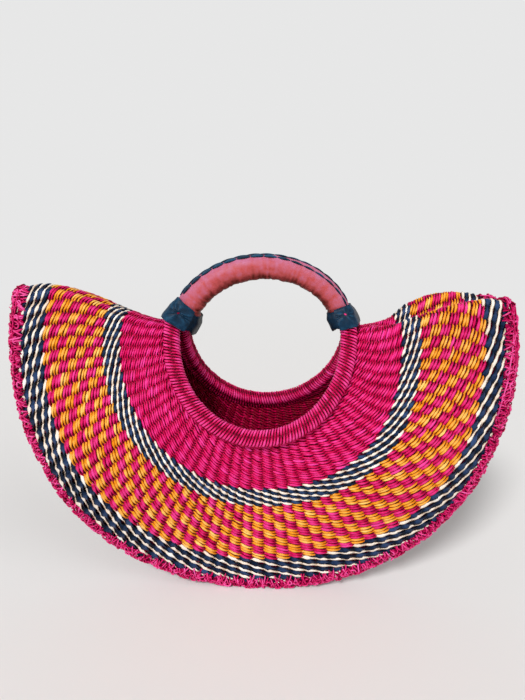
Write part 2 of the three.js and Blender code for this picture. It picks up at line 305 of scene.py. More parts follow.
@dataclass(frozen=True)
class LeatherFinish(Finish):
    """Goat leather: slow stains and a fine grain."""

    grain_scale: float = 1400.0
    stain_scale: float = 200.0
    stain_detail: float = 6.0
    stain_roughness: float = 0.65

    def _pattern(self, tree: bpy.types.NodeTree) -> tuple[bpy.types.NodeSocket, ...]:
        """Adds stains and grain that stay where they are on the piece."""
        place = add_node(tree, "TexCoord").outputs["Object"]
        parts = {"Vector": place, "Scale": self.stain_scale}
        parts |= {"Detail": self.stain_detail, "Roughness": self.stain_roughness}
        stain = add_node(tree, "TexNoise", parts)
        grain = add_node(tree, "TexVoronoi", {"Scale": self.grain_scale, "Vector": place})
        return stain.outputs["Fac"], grain.outputs["Distance"]


PINK = StrawFinish("dyed_pink_straw", Slot.PINK, (104, 0, 16), (212, 0, 80), (246, 66, 160))
# Near-black stake straw: where stakes show between the rows and in the hoops' gaps, it is painted
# shade.
SHADED_STAKE = StrawFinish("dark_stake_straw_as_gap_shade", Slot.PINK, (40, 0, 12), (120, 0, 44), (190, 30, 100))
BORDER = StrawFinish("dyed_border_straw", Slot.PINK, (62, 0, 18), (204, 4, 88), (248, 100, 176))
WRAPPING = StrawFinish("dyed_hoop_straw", Slot.WRAPPING, (56, 0, 8), (208, 2, 80), (250, 84, 170))
CHECK = StrawFinish("dyed_check_straw", Slot.CHECK, (112, 0, 20), (208, 2, 82), (244, 72, 158))
ORANGE = StrawFinish(
    "dyed_orange_straw", Slot.ORANGE, (196, 84, 0), (240, 150, 22), (250, 208, 118)
)
CREAM = StrawFinish(
    "plain_cream_straw", Slot.CREAM, (196, 162, 134), (243, 226, 208), (255, 251, 244)
)
NAVY = StrawFinish(
    "dyed_navy_straw", Slot.NAVY, (0, 2, 8), (6, 24, 48), (52, 76, 118), roughness=0.36
)
GRASS = StrawFinish(
    "dry_grass_stems", Slot.GRASS, (120, 96, 50), (182, 156, 96), (220, 204, 150), roughness=0.55
)
# The pale, bluish stop is a painted sky reflection, which the handle's top takes.
RED_LEATHER = LeatherFinish(
    "red_goat_leather", Slot.RED_LEATHER, (96, 26, 14), (184, 74, 76), (188, 108, 140)
)
# The pale, bluish stop is a painted highlight, which the collars' front faces take.
BLACK_LEATHER = LeatherFinish(
    "black_goat_leather", Slot.BLACK_LEATHER, (0, 4, 8), (4, 40, 64), (40, 92, 124), 0.46, 0.14
)


def settle(piece: bpy.types.Object, finish: Finish, nodes: Nodes) -> None:
    """Finishes a piece and puts it on the frame.

    Args:
        piece: The piece, in its place.
        finish: Its straw or leather.
        nodes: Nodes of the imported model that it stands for.
    """
    piece.data.materials.clear()
    piece.data.materials.append(finish.material())
    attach(piece, BODY)
    if nodes:
        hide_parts(*nodes)
    faces = len(piece.data.polygons)
    log.info("%s: %d faces, stands for %s", piece.name, faces, ", ".join(nodes) or "itself")


@dataclass(frozen=True)
class Batch:
    """Straws with the same number of samples: arrays of straws by samples, directions by three."""

    centre: Array
    wide: Array
    thin: Array
    half_wide: Array
    half_thin: Array
    tone: Array
    closed: bool


@dataclass
class Straws:
    """A set of straws of one colour, swept along their routes into one mesh."""

    sides: int = 6
    face_highlight_edge_shade: float = 0.58
    edge_middle: float = 0.4
    batches: list[Batch] = field(default_factory=list)

    def add(
        self,
        centre: Array,
        wide: Array,
        thin: Array,
        half_wide: Array | float,
        half_thin: Array | float,
        tone: Array | float,
        closed: bool = False,
    ) -> None:
        """Adds one straw, or several that share a number of samples.

        Args:
            centre: Middle line, samples by three, or middle lines, straws by samples by three.
            wide: Directions of the section's width, as centre.
            thin: Directions of the section's thickness, as centre.
            half_wide: Half width of each sample, or of each straw, or one for all.
            half_thin: Half thickness, as half_wide.
            tone: Tone of 0 to 1, as half_wide.
            closed: Whether each straw runs on into its own start.
        """
        if centre.ndim == 2:
            centre, wide, thin = centre[None], wide[None], thin[None]
        sizes = (half_wide, half_thin, np.clip(tone, 0.0, 1.0))
        spread = (np.broadcast_to(size, centre.shape[:2]) for size in sizes)
        self.batches.append(Batch(centre, wide, thin, *spread, closed))

    def build(self, name: str, finish: Finish, nodes: Nodes) -> None:
        """Makes the piece, dresses it and puts it on the frame.

        Args:
            name: Name of the piece.
            finish: Its straw or leather.
            nodes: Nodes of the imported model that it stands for.
        """
        points, tones, corners, starts, fibres = [], [], [], [], []
        vertex_count = corner_count = 0
        # Painted highlight along the middle of each straw's faces and painted shade along its
        # edges.
        edges = self.face_highlight_edge_shade * (self.edge_middle - np.cos(self._turn()) ** 2)
        for batch in self.batches:
            rings = self._rings(batch)
            points.append(rings.reshape(-1, 3))
            tones.append((batch.tone[..., None] + edges).reshape(-1))
            for faces, face_fibres in self._faces(batch):
                corners.append((faces + vertex_count).reshape(-1))
                fibres.append(face_fibres.reshape(-1, 2))
                starts.append(corner_count + faces.shape[1] * np.arange(len(faces)))
                corner_count += faces.size
            vertex_count += rings.size // 3
        mesh = bpy.data.meshes.new(name)
        mesh.vertices.add(vertex_count)
        put_values(mesh.vertices, "co", points)
        mesh.loops.add(corner_count)
        put_values(mesh.loops, "vertex_index", corners, np.int32)
        mesh.polygons.add(sum(map(len, starts)))
        put_values(mesh.polygons, "loop_start", starts, np.int32)
        mesh.update(calc_edges=True)
        mesh.validate()
        put_values(mesh.uv_layers.new(name="fibre").data, "uv", fibres)
        put_tone(mesh, np.concatenate(tones))
        mesh.shade_smooth()
        piece = bpy.data.objects.new(name, mesh)
        bpy.context.scene.collection.objects.link(piece)
        settle(piece, finish, nodes)

    def _turn(self) -> Array:
        """Angles of the section's corners."""
        return np.arange(self.sides) * (FULL_TURN / self.sides)

    def _rings(self, batch: Batch) -> Array:
        """Section points of a batch: straws, samples, sides, three."""
        cos, sin = np.cos(self._turn())[:, None], np.sin(self._turn())[:, None]
        across = (batch.wide * batch.half_wide[..., None])[:, :, None] * cos
        through = (batch.thin * batch.half_thin[..., None])[:, :, None] * sin
        rings = batch.centre[:, :, None] + across + through
        rings[..., 2] = np.maximum(rings[..., 2], FLOOR_CLEARANCE)
        return rings

    def _faces(self, batch: Batch) -> list[tuple[Array, Array]]:
        """Quads and end caps of a batch, with the corners' places along and round the straw."""
        count, samples = batch.centre.shape[:2]
        sides = self.sides
        onward = np.roll(batch.centre, -1, axis=1) - batch.centre
        length = np.cumsum(np.linalg.norm(onward, axis=-1), axis=1)
        reach = np.concatenate([np.zeros((count, 1)), length], axis=1)
        facing = np.cross(batch.wide, batch.thin) * onward
        is_flipped = facing[:, : samples - 1].sum(axis=(1, 2)) <= 0.0
        steps = samples if batch.closed else samples - 1
        straw, sample, side = np.meshgrid(
            np.arange(count), np.arange(steps), np.arange(sides), indexing="ij"
        )
        here = (straw * samples + sample) * sides
        onto = (straw * samples + (sample + 1) % samples) * sides
        beside = (side + 1) % sides
        quads = np.stack([here + side, here + beside, onto + beside, onto + side], axis=-1)
        low, high = reach[straw, sample], reach[straw, sample + 1]
        near, far = side / sides, (side + 1) / sides
        spots = ((low, near), (low, far), (high, far), (high, near))
        fibres = np.stack([np.stack(spot, axis=-1) for spot in spots], axis=-2)
        quads[is_flipped] = quads[is_flipped][..., ::-1]
        fibres[is_flipped] = fibres[is_flipped][..., ::-1, :]
        faces = [(quads.reshape(-1, 4), fibres)]
        if not batch.closed:
            first = (np.arange(count) * samples * sides)[:, None] + np.arange(sides)[::-1]
            last = ((np.arange(count) + 1) * samples * sides - sides)[:, None] + np.arange(sides)
            for caps in (first, last):
                caps[is_flipped] = caps[is_flipped][:, ::-1]
            faces.append((np.concatenate([first, last]), np.zeros((2 * count, sides, 2))))
        return faces


def put_values(
    rows: bpy.types.bpy_prop_collection, key: str, values: list[Array], kind: type = np.float32
) -> None:
    """Writes one property of all rows of a mesh's table."""
    rows.foreach_set(key, np.concatenate(values).astype(kind).reshape(-1))


def put_tone(mesh: bpy.types.Mesh, tone: Array) -> None:
    """Keeps the tone of each vertex of a mesh, 0 to 1."""
    kept = mesh.attributes.new("tone", "FLOAT", "POINT")
    kept.data.foreach_set("value", np.clip(tone, 0.0, 1.0).astype(np.float32))


def read_points(piece: bpy.types.Object) -> Array:
    """Vertices of a piece, as many by three."""
    flat = np.empty(3 * len(piece.data.vertices), np.float32)
    piece.data.vertices.foreach_get("co", flat)
    return flat.reshape(-1, 3).astype(float)


def shape_leather(piece: bpy.types.Object, points: Array, tone: Array) -> None:
    """Moves the vertices of a leather piece into place and gives each its tone."""
    put_values(piece.data.vertices, "co", [points])
    piece.data.update()
    put_tone(piece.data, tone)


def finish_leather(piece: bpy.types.Object, finish: LeatherFinish, nodes: Nodes) -> None:
    """Smooths a leather piece, dresses it and puts it on the frame."""
    bpy.ops.object.shade_smooth_by_angle(angle=SMOOTH_ANGLE)
    settle(piece, finish, nodes)


def grass_stems(
    line: Array, first: Array, second: Array, ring: float, radius: float, tones: Array
) -> Straws:
    """Grass stems, laid round one in their middle.

    Args:
        line: Middle line of the bundle.
        first: Direction across the line, at each of its points.
        second: Direction across the line and the first one.
        ring: Distance of the outer ones from the line.
        radius: Radius of a stem.
        tones: Tone of each stem.

    Returns:
        The set of stems.
    """
    straws = Straws(sides=8)
    for number, tone in enumerate(tones):
        spoke, _ = turned(first, second, number * FULL_TURN / STEMS_ROUND_ONE)
        centre = line + spoke * (ring if number < STEMS_ROUND_ONE else 0.0)
        straws.add(centre, first, second, radius, radius, tone)
    return straws


@dataclass(frozen=True)
class Mouth:
    """The two half hoops that hold the mouth open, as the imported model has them."""

    half_width: float = 0.080
    drop: float = 0.083
    centre_height: float = 0.270
    half_opening: float = 0.049
    shift: float = -0.004
    back_shift: float = 0.0055
    radius: float = 0.00875
    end_angle: float = math.radians(98.0)
    side_gap: float = 0.0003

    def point(self, angle: Array, side: float) -> Array:
        """Point of a hoop's middle line.

        Args:
            angle: Angle from the lowest point, negative to the left.
            side: Sign of the wall.

        Returns:
            Points, in the shape of angle by three.
        """
        end_height = self.centre_height - self.drop * math.cos(self.end_angle)
        low_height = self.centre_height - self.drop
        x = self.shift + (self.back_shift if side > 0.0 else 0.0) + self.half_width * np.sin(angle)
        z = self.centre_height - self.drop * np.cos(angle)
        depth = (end_height - z) / (end_height - low_height)
        y = side * mix(self.radius + self.side_gap / 2.0, self.half_opening, depth)
        return np.stack([x, y, z], axis=-1)


@dataclass(frozen=True)
class FoldedWall:
    """The one round of weaving, folded into a front and a back wall.

    A place on it is c, the way round in four quarters (front, right shoulder, back, left shoulder),
    and s, from 0 at the hoops to 1 at the plaited edge.
    """

    mouth: Mouth = Mouth()
    rim_half_width: float = 0.238
    rim_bottom_radius: float = 0.228
    rim_square_share: float = 0.02
    wing_reach: float = math.radians(110.0)
    wall_reach: float = math.radians(90.0)
    base_cut: float = 0.0015
    edge_offset: float = 0.0046
    seat_gap: float = 0.0005
    face_steps: int = 18
    belly: float = 0.022
    belly_peak: float = 0.62
    shoulder_start: float = 0.55
    lip_start: float = 0.78
    row_pull: float = 0.043
    left_row_pull: float = 0.144
    right_row_pull: float = 0.062
    row_pull_skew: float = 2.0
    left_half: float = 0.009
    right_half: float = 0.011
    right_half_shares: Pair = (0.2, 1.2)
    rise: float = 0.010
    left_rise_shares: Pair = (-0.8, 1.2)
    right_rise_shares: Pair = (-0.2, 1.4)
    ridge_radius: float = 0.0055
    right_tuck: float = 0.019
    tuck_rim_share: float = 0.7
    tuck_power: int = 6
    front_lip_out: float = 0.007
    back_lip_out: float = 0.015
    back_lip_in: float = 0.010
    plait_width: float = 0.0125
    back_ridge_lift: float = 0.0065
    back_ridge_start: Pair = (0.24, 0.40)
    back_ridge_end: Pair = (0.94, 0.54)
    probe: float = 0.004
    round_samples: int = 1601

    def rim(self, t: Array, side: float) -> Array:
        """Outer line of the plait at a share t of the way from left to right."""
        angle = mix(-self.wing_reach, self.wing_reach, t)
        swell = 1.0 + self.rim_square_share * (1.0 - np.cos(4.0 * angle)) / 2.0
        x = self.rim_half_width * swell * np.sin(angle)
        z = self.rim_bottom_radius * (1.0 - swell * np.cos(angle)) - self.base_cut
        lip = np.where(t > 0.5, step(np.abs(2.0 * t - 1.0), self.lip_start, 1.0), 0.0)
        is_front = side < 0.0
        out = lip * (self.front_lip_out if is_front else self.back_lip_out)
        inward = lip * (0.0 if is_front else self.back_lip_in)
        return np.stack([x - inward, side * (self.edge_offset + out), z], axis=-1)

    def face(self, t: Array, s: Array, side: float) -> Array:
        """Place on the front or back wall."""
        angle = mix(-self.wall_reach, self.wall_reach, t)
        hoop = self.mouth.point(angle, side)
        rim = self.rim(t, side)
        run = unit(rim - hoop)
        ahead = self.mouth.point(angle + self.probe, side)
        along = unit(ahead - self.mouth.point(angle - self.probe, side))
        outward = unit(run - along * (run * along).sum(-1, keepdims=True))
        facet_sag = 1.0 - math.cos(self.wall_reach / self.face_steps)
        sag = (self.mouth.half_width + self.mouth.radius) * facet_sag
        start = hoop + outward * (self.mouth.radius + self.seat_gap + sag)
        end = rim - run * self.plait_width
        away = np.abs(2.0 * t - 1.0)
        fold = step(away, self.shoulder_start, 1.0)
        half = np.where(t < 0.5, self.left_half, self.right_half * mix(*self.right_half_shares, s))
        rises = mix(*self.left_rise_shares, s), mix(*self.right_rise_shares, s)
        rise = self.rise * np.where(t < 0.5, *rises)
        belly = self.belly * ease(1.0 - np.abs((away - self.belly_peak) / self.belly_peak))
        bow = 4.0 * s * (1.0 - s)
        place = start + (end - start) * s[..., None]
        place[..., 1] += side * mix(belly, half, fold) * bow
        place[..., 2] += rise * fold * bow
        if side > 0.0:
            ridge = step(s, *self.back_ridge_start) * step(s, *self.back_ridge_end)
            place[..., 2] += self.back_ridge_lift * ridge * np.where(t > 0.5, fold, 0.0)
        return place

    def shoulder(self, v: Array, s: Array, is_right: bool) -> Array:
        """Place on the fold between the walls, from front to back."""
        t = np.full_like(v, 1.0 if is_right else 0.0)
        near = self.face(t, s, Side.FRONT.value)
        far = self.face(t, s, Side.BACK.value)
        half = (far[..., 1] - near[..., 1]) / 2.0
        crown = np.sqrt(self.ridge_radius * half)
        depth = step(s, 0.0, 0.5) * mix(1.0, self.tuck_rim_share, step(s, 0.5, 1.0))
        tuck = (crown + self.right_tuck) * depth if is_right else 0.0
        share = ((1.0 - np.cos(math.pi * v)) / 2.0)[..., None]
        place = near + (far - near) * share
        arc = np.sin(math.pi * v)
        place[..., 2] += crown * arc - tuck * arc**self.tuck_power
        return place

    def place(self, c: Array, s: Array | float) -> Array:
        """Points of the folded wall's middle surface."""
        c, s = np.broadcast_arrays(np.mod(c, 4.0), np.asarray(s, float))
        quarter = np.minimum(np.floor(c).astype(int), 3)
        made = np.zeros(c.shape + (3,))
        for number in range(4):
            chosen = quarter == number
            if not chosen.any():
                continue
            part = c[chosen] - number if number < 2 else 1.0 - (c[chosen] - number)
            ends = {1: np.ones_like(part), 3: np.zeros_like(part)}
            reach = self.row_share(ends.get(number, part), s[chosen])
            if number % 2:
                made[chosen] = self.shoulder(part, reach, number == 1)
            else:
                side = Side.FRONT if number == 0 else Side.BACK
                made[chosen] = self.face(part, reach, side.value)
        return made

    def row_share(self, t: Array, s: Array) -> Array:
        """Where a row lies between hoop and plait, pulled nearer the hoop in the corners."""
        pull = np.where(t < 0.5, self.left_row_pull, self.right_row_pull)
        pull = self.row_pull + pull * np.sin(FULL_TURN * t) ** 2
        return s - pull * s * (1.0 - s) * (1.0 + self.row_pull_skew * s)

    def frames(self, c: Array, s: Array | float) -> tuple[Array, Array, Array, Array, Array]:
        """Directions of the surface at its places.

        Args:
            c: Way round.
            s: Way from hoop to edge.

        Returns:
            Place, direction along the row, direction away from the hoop, outward direction, and
            metres of wall per unit of s.
        """
        along = unit(self.place(c + self.probe, s) - self.place(c - self.probe, s))
        onward = self.place(c, s + self.probe) - self.place(c, s - self.probe)
        reach = np.linalg.norm(onward, axis=-1) / (2.0 * self.probe)
        out = unit(np.cross(onward, along))
        return self.place(c, s), along, unit(np.cross(along, out)), out, reach

    def stake_places(self, s: float, stakes: int, at: Array) -> Array:
        """Way round of stakes that stand evenly along the row at s.

        Args:
            s: Way from hoop to edge.
            stakes: Number of stakes in the whole round.
            at: Stake numbers, with fractions between stakes.

        Returns:
            The way round, c, of each.
        """
        fine = np.linspace(0.5, 4.5, self.round_samples)
        run = run_length(self.place(fine, s))
        middle = len(fine) // 2
        first = run[: middle + 1] / run[middle]
        second = (run[middle:] - run[middle]) / (run[-1] - run[middle]) + 1.0
        number = np.concatenate([first, second[1:]]) * (stakes / 2)
        return np.interp(np.mod(at, stakes), number, fine)


@dataclass(frozen=True)
class Band:
    """A band of twined rows in two colours: its plan in cells of rows, and its straws' sizes."""

    name: str
    start: float
    end: float
    rows: int
    stakes: int
    first: StrawFinish
    second: StrawFinish
    cells: tuple[int, ...]
    is_alternating: bool = True
    first_half: float = 0.48
    second_half: float = 0.74
    turn_share: float = 0.52
    thin_share: float = 0.28
    taper: float = 0.18


@dataclass(frozen=True)
class StakePlan:
    """The radial stakes of one part of the wall."""

    name: str
    stakes: int
    start: float
    end: float
    samples: int


@dataclass(frozen=True)
class Weave:
    """The twined walls: two straws a row, turned about each other between the stakes."""

    wall: FoldedWall
    bands: tuple[Band, ...] = (
        Band(
            "pink", 0.0, 0.295, 17, PINK_STAKES, PINK, PINK, (17,),
            first_half=0.51, second_half=0.51, turn_share=0.66, thin_share=0.30, taper=0.20,
        ),
        Band("inner_stripe", 0.295, 0.42, 6, STAKES, CREAM, NAVY, (1,) * 6),
        Band(
            "check", 0.42, 0.84, 20, STAKES, ORANGE, CHECK, (3,) * 6 + (2,), is_alternating=False,
            first_half=0.51, second_half=0.53, turn_share=0.58, thin_share=0.27, taper=0.30,
        ),
        Band(
            "outer_stripe", 0.84, 1.0, 6, STAKES, CREAM, NAVY, (1,) * 6,
            first_half=0.46, second_half=0.78,
        ),
    )
    stake_plans: tuple[StakePlan, ...] = (
        StakePlan("inner_stakes", PINK_STAKES, -0.05, 0.31, 14),
        StakePlan("outer_stakes", STAKES, 0.285, 1.02, 26),
    )
    seat_row: float = -0.55
    edge_row: float = 0.5
    samples: int = 6
    jitter: float = 0.10
    thin_limit: float = 0.00095
    stake_half: float = 0.0003
    roll_limit: float = 0.7
    plumpness: Pair = (1.0, 0.10)
    lifts: Pair = (0.0, 0.0002)
    shifts: Pair = (0.0, 0.06)
    tones: Pair = (0.50, 0.09)
    bright_share: float = 0.05
    bright_tone: float = 0.36
    crown_highlight_end_shade: float = 0.32
    crown_middle: float = 0.64
    inner_shade: float = 0.68
    stake_tones: Pair = (0.0, 0.2)
    stake_middle: Pair = (0.0008, 0.15)
    stake_flank: Pair = (0.0004, 0.0)
    stake_width_share: float = 0.185
    stake_width_limit: float = 0.0026

    def build(self) -> None:
        """Weaves every band and sets the stakes in it."""
        row = 1
        for band in self.bands:
            row = self._weave(band, row)
        for plan in self.stake_plans:
            self._stakes(plan)

    def _weave(self, band: Band, row: int) -> int:
        """Weaves one band.

        Args:
            band: The band.
            row: Number of rows woven before it.

        Returns:
            Number of rows woven with it.
        """
        done = 0
        for course, cell in enumerate(band.cells):
            first, second = Straws(), Straws()
            places = [(done + k + 0.5, row + done + k) for k in range(cell)]
            if band.name == "pink":
                places.insert(0, (self.seat_row, row - 1))
            if band.name == "outer_stripe" and course == len(band.cells) - 1:
                places.insert(0, (band.rows + self.edge_row, row + done + 1))
            done += cell
            for at, number in places:
                s = mix(band.start, band.end, at / band.rows)
                turn = float((number if band.is_alternating else course) % 2)
                self._row(first, band, s, turn, band.first_half, number * 2)
                self._row(second, band, s, turn + 1.0, band.second_half, number * 2 + 1)
            node, names = "pink_band", ("pink_rows_first_straw", "pink_rows_second_straw")
            if band.name != "pink":
                node = f"{band.name}_course_{course + 1}"
                names = tuple(f"{node}_{straw.slot.value}" for straw in (band.first, band.second))
            first.build(names[0], band.first, (node,))
            second.build(names[1], band.second, (node,))
        return row + done

    def _row(
        self, straws: Straws, band: Band, s: float, turn: float, half_share: float, seed: int
    ) -> None:
        """Adds one straw of a row.

        Args:
            straws: Set that it joins.
            band: Its band.
            s: Way from hoop to edge.
            turn: Half turns by which it starts ahead.
            half_share: Half width as a share of the row's pitch.
            seed: Number that sets its wander.
        """
        rng = draws(Draw.WEAVE, seed)
        stakes = band.stakes
        at = np.arange(stakes * self.samples) / self.samples
        jitter = drift(rng, at / stakes, stakes, True) * self.jitter
        c = self.wall.stake_places(s, stakes, at + jitter)
        place, _, away, out, reach = self.wall.frames(c, s)
        pitch = reach * (band.end - band.start) / band.rows
        tone = rng.normal(*self.tones, stakes)
        tone += self.bright_tone * (rng.uniform(size=stakes) < self.bright_share)
        tone = tone[np.round(at).astype(int) % stakes]
        spreads = (self.plumpness, self.lifts, self.shifts)
        plump, lift, shift = (between(rng.normal(*spread, stakes), at) for spread in spreads)
        angle = math.pi * (at + turn)
        swing = np.tanh(np.cos(angle)) / math.tanh(1.0)
        thin = np.minimum(pitch * band.thin_share, self.thin_limit)
        move = (band.turn_share * slant(angle) + shift) * pitch
        height = (self.stake_half + thin) * swing + lift
        centre = place + out * height[:, None] + away * move[:, None]
        face, side = turned(out, away, self.roll_limit * np.sin(angle))
        wide = pitch * half_share * plump * (1.0 - band.taper * np.sin(angle) ** 2)
        # Painted highlight on each stroke's crown and painted shade at its ends, where it dives
        # between the stakes; then painted shade on the parts that run on the inner face.
        tone += self.crown_highlight_end_shade * (np.abs(np.cos(angle)) - self.crown_middle)
        tone -= self.inner_shade * np.clip(-swing, 0.0, 1.0)
        straws.add(centre, side, face, wide, thin, tone, closed=True)

    def _stakes(self, plan: StakePlan) -> None:
        """Sets radial stakes, each a flat bundle of three straws, in a near-black straw that shows
        as painted shade between the rows.

        Args:
            plan: Their number and their reach.
        """
        straws = Straws()
        rng = draws(Draw.WEAVE, plan.stakes)
        reach = np.linspace(plan.start, plan.end, plan.samples)
        for beside in (-1, 0, 1):
            thin, tone = self.stake_flank if beside else self.stake_middle
            at = np.arange(plan.stakes) + beside / 3.0
            ways = np.stack([self.wall.stake_places(s, plan.stakes, at) for s in reach], 1)
            place, along, _, out, _ = self.wall.frames(ways, reach)
            gap = np.linalg.norm(np.roll(place, -1, axis=0) - place, axis=-1)
            wide = np.minimum(gap * self.stake_width_share, self.stake_width_limit)
            tones = rng.uniform(*self.stake_tones, (plan.stakes, 1)) + tone
            straws.add(place, along, out, wide, thin, tones)
        straws.build(plan.name, SHADED_STAKE, ())


@dataclass(frozen=True)
class HoopWinding:
    """The twined cover of a mouth hoop and the grass stems inside it."""

    mouth: Mouth
    pitch: float = 0.00275
    strokes_per_turn: int = 4
    samples: int = 6
    straw_half_thin: float = 0.00085
    half_wide_share: float = 0.46
    slide_share: float = 0.40
    taper: float = 0.12
    roll_limit: float = 0.6
    lift: float = 0.0002
    plumpness: Pair = (1.0, 0.1)
    face_highlight_edge_shade: float = 0.72
    front_tone: float = 0.48
    back_tone: float = 0.40
    tone_spread: float = 0.11
    crown_highlight_end_shade: float = 0.50
    crown_middle: float = 0.66
    stakes: int = 14
    stake_half: float = 0.0007
    stake_thin: float = 0.0005
    stake_width_share: float = 1.12
    stake_tones: Pair = (0.0, 0.25)
    stake_samples: int = 64
    stem_radius: float = 0.0017
    stem_ring: float = 0.0034
    stem_tones: Pair = (0.3, 0.7)
    stem_samples: int = 48
    fine_samples: int = 800
    probe: float = 0.01

    def _length(self, side: Side) -> tuple[Array, Array]:
        """Angles along a hoop, and its length as far as each of them."""
        fine = np.linspace(-self.mouth.end_angle, self.mouth.end_angle, self.fine_samples)
        return fine, run_length(self.mouth.point(fine, side.value))

    def _line(self, side: Side, count: int) -> tuple[Array, Array, Array, Array]:
        """Even samples of a hoop's middle line with its directions.

        Args:
            side: The wall that it belongs to.
            count: Number of samples.

        Returns:
            Points, directions along, directions away from the hoop's middle, and their cross.
        """
        fine, run = self._length(side)
        angle = np.interp(np.linspace(0.0, run[-1], count), run, fine)
        place = self.mouth.point(angle, side.value)
        ahead = self.mouth.point(angle + self.probe, side.value)
        along = unit(ahead - self.mouth.point(angle - self.probe, side.value))
        ends = self.mouth.point(np.array([-0.5, 0.5]) * math.pi, side.value)
        spread = place - np.array([ends[:, 0].mean(), 0.0, self.mouth.centre_height])
        away = unit(spread - along * (spread * along).sum(-1, keepdims=True))
        return place, along, away, np.cross(along, away)

    def build(self, side: Side) -> None:
        """Makes the winding, the straws under it and the stems of one hoop."""
        word = side.name.lower()
        turns = round(self._length(side)[1][-1] / self.pitch)
        count = turns * self.strokes_per_turn * self.samples + 1
        place, along, away, across = self._line(side, count)
        at = np.arange(count) / self.samples
        strokes = int(at[-1]) + 2
        spoke, _ = turned(away, across, side.value * FULL_TURN * (at + 0.5) / self.strokes_per_turn)
        depth = self.stake_half + self.straw_half_thin
        radius = self.mouth.radius - depth - self.straw_half_thin
        mean = self.front_tone if side is Side.FRONT else self.back_tone
        straws = Straws(face_highlight_edge_shade=self.face_highlight_edge_shade)
        for number in range(2):
            rng = draws(Draw.HOOP_WINDING, number + int(side.value) * 3)
            tone = rng.normal(mean, self.tone_spread, strokes)[np.round(at).astype(int)]
            lift = between(rng.normal(0.0, self.lift, strokes), at)
            plump = between(rng.normal(*self.plumpness, strokes), at)
            angle = math.pi * (at + number)
            out_by = radius + depth * np.cos(angle) + lift
            slide = self.pitch * self.slide_share * slant(angle)
            centre = place + spoke * out_by[:, None] + along * slide[:, None]
            face, flat = turned(spoke, along, self.roll_limit * np.sin(angle))
            wide = self.pitch * self.half_wide_share * plump
            wide *= 1.0 - self.taper * np.sin(angle) ** 2
            # Painted highlight on each stroke's crown and painted shade at its ends.
            tone += self.crown_highlight_end_shade * (np.abs(np.cos(angle)) - self.crown_middle)
            straws.add(centre, flat, face, wide, self.straw_half_thin, tone)
        straws.build(f"{word}_hoop_winding", WRAPPING, (f"{word}_hoop_wrap",))
        self._stakes(side, word, radius)
        place, along, away, across = self._line(side, self.stem_samples)
        rng = draws(Draw.HOOP_STEMS, int(side.value))
        tones = rng.uniform(*self.stem_tones, STEMS_ROUND_ONE + 1)
        stems = grass_stems(place, away, across, self.stem_ring, self.stem_radius, tones)
        stems.build(f"{word}_hoop_stems", GRASS, (f"{word}_hoop_core",))

    def _stakes(self, side: Side, word: str, radius: float) -> None:
        """Lays the straws that run along a hoop, between the two straws of its winding; they are
        near-black, so they show as painted shade in the winding's gaps.
        """
        straws = Straws()
        place, _, away, across = self._line(side, self.stake_samples)
        wide = self.stake_width_share * math.pi * radius / self.stakes
        tones = draws(Draw.HOOP_STAKES, int(side.value)).uniform(*self.stake_tones, self.stakes)
        for number, tone in enumerate(tones):
            out, flat = turned(away, across, FULL_TURN * number / self.stakes)
            straws.add(place + out * radius, flat, out, wide, self.stake_thin, tone)
        straws.build(f"{word}_hoop_stakes", SHADED_STAKE, (f"{word}_hoop_wrap",))


@dataclass(frozen=True)
class Section:
    """The border at some places: its frame, its width and its half thickness."""

    place: Array
    along: Array
    away: Array
    out: Array
    width: Array
    half: Array

    def point(self, reach: Array, height: Array) -> Array:
        """Points so far from the weave and so high over the border's middle."""
        return self.place + self.away * reach[..., None] + self.out * height[..., None]


@dataclass(frozen=True)
class Edge:
    """Course, width and thickness of the border, for all of its parts.

    Each wall's half of it has its own start: the way round, c, at which it begins.
    """

    wall: FoldedWall
    width: float = 0.0128
    half_thickness: float = 0.0040
    left_lip_width: float = 0.0172
    right_lip_width: float = 0.0100
    lip_half_thickness: float = 0.0030
    right_overlap: float = 0.0055
    overlap_lift: float = 0.12
    overlap_shares: Pair = (0.52, 0.77)
    wing: float = 0.42
    fine_samples: int = 1400
    probe: float = 0.003

    def section(self, c: Array, start: float) -> Section:
        """Border at places on the half with this start."""
        place, along, away, out, _ = self.wall.frames(c, 1.0)
        to_tip = 1.0 - np.abs(2.0 * (c - start) - 1.0)
        full = step(to_tip, 0.0, 1.0 - self.wall.lip_start)
        is_left = (c - start < 0.5) == (start < 1.0)
        width = mix(np.where(is_left, self.left_lip_width, self.right_lip_width), self.width, full)
        half = mix(self.lip_half_thickness, self.half_thickness, full)
        to_right = c if start < 1.0 else 3.0 - c
        over = self.right_overlap * step(to_right, *self.overlap_shares)
        place = place + (out * self.overlap_lift - away) * over[..., None]
        return Section(place, along, away, out, width + over, half)

    def even_places(self, start: float, count: int) -> Array:
        """Places spread evenly by length along one half, lips included."""
        fine = np.linspace(start - self.wing, start + 1.0 + self.wing, self.fine_samples)
        run = run_length(self.wall.place(fine, 1.0))
        return np.interp(np.linspace(0.0, run[-1], count), run, fine)

    def round_per_metre(self, c: Array) -> Array:
        """Change of c per metre along the edge."""
        run = self.wall.place(c + self.probe, 1.0) - self.wall.place(c - self.probe, 1.0)
        return 2.0 * self.probe / np.linalg.norm(run, axis=-1)


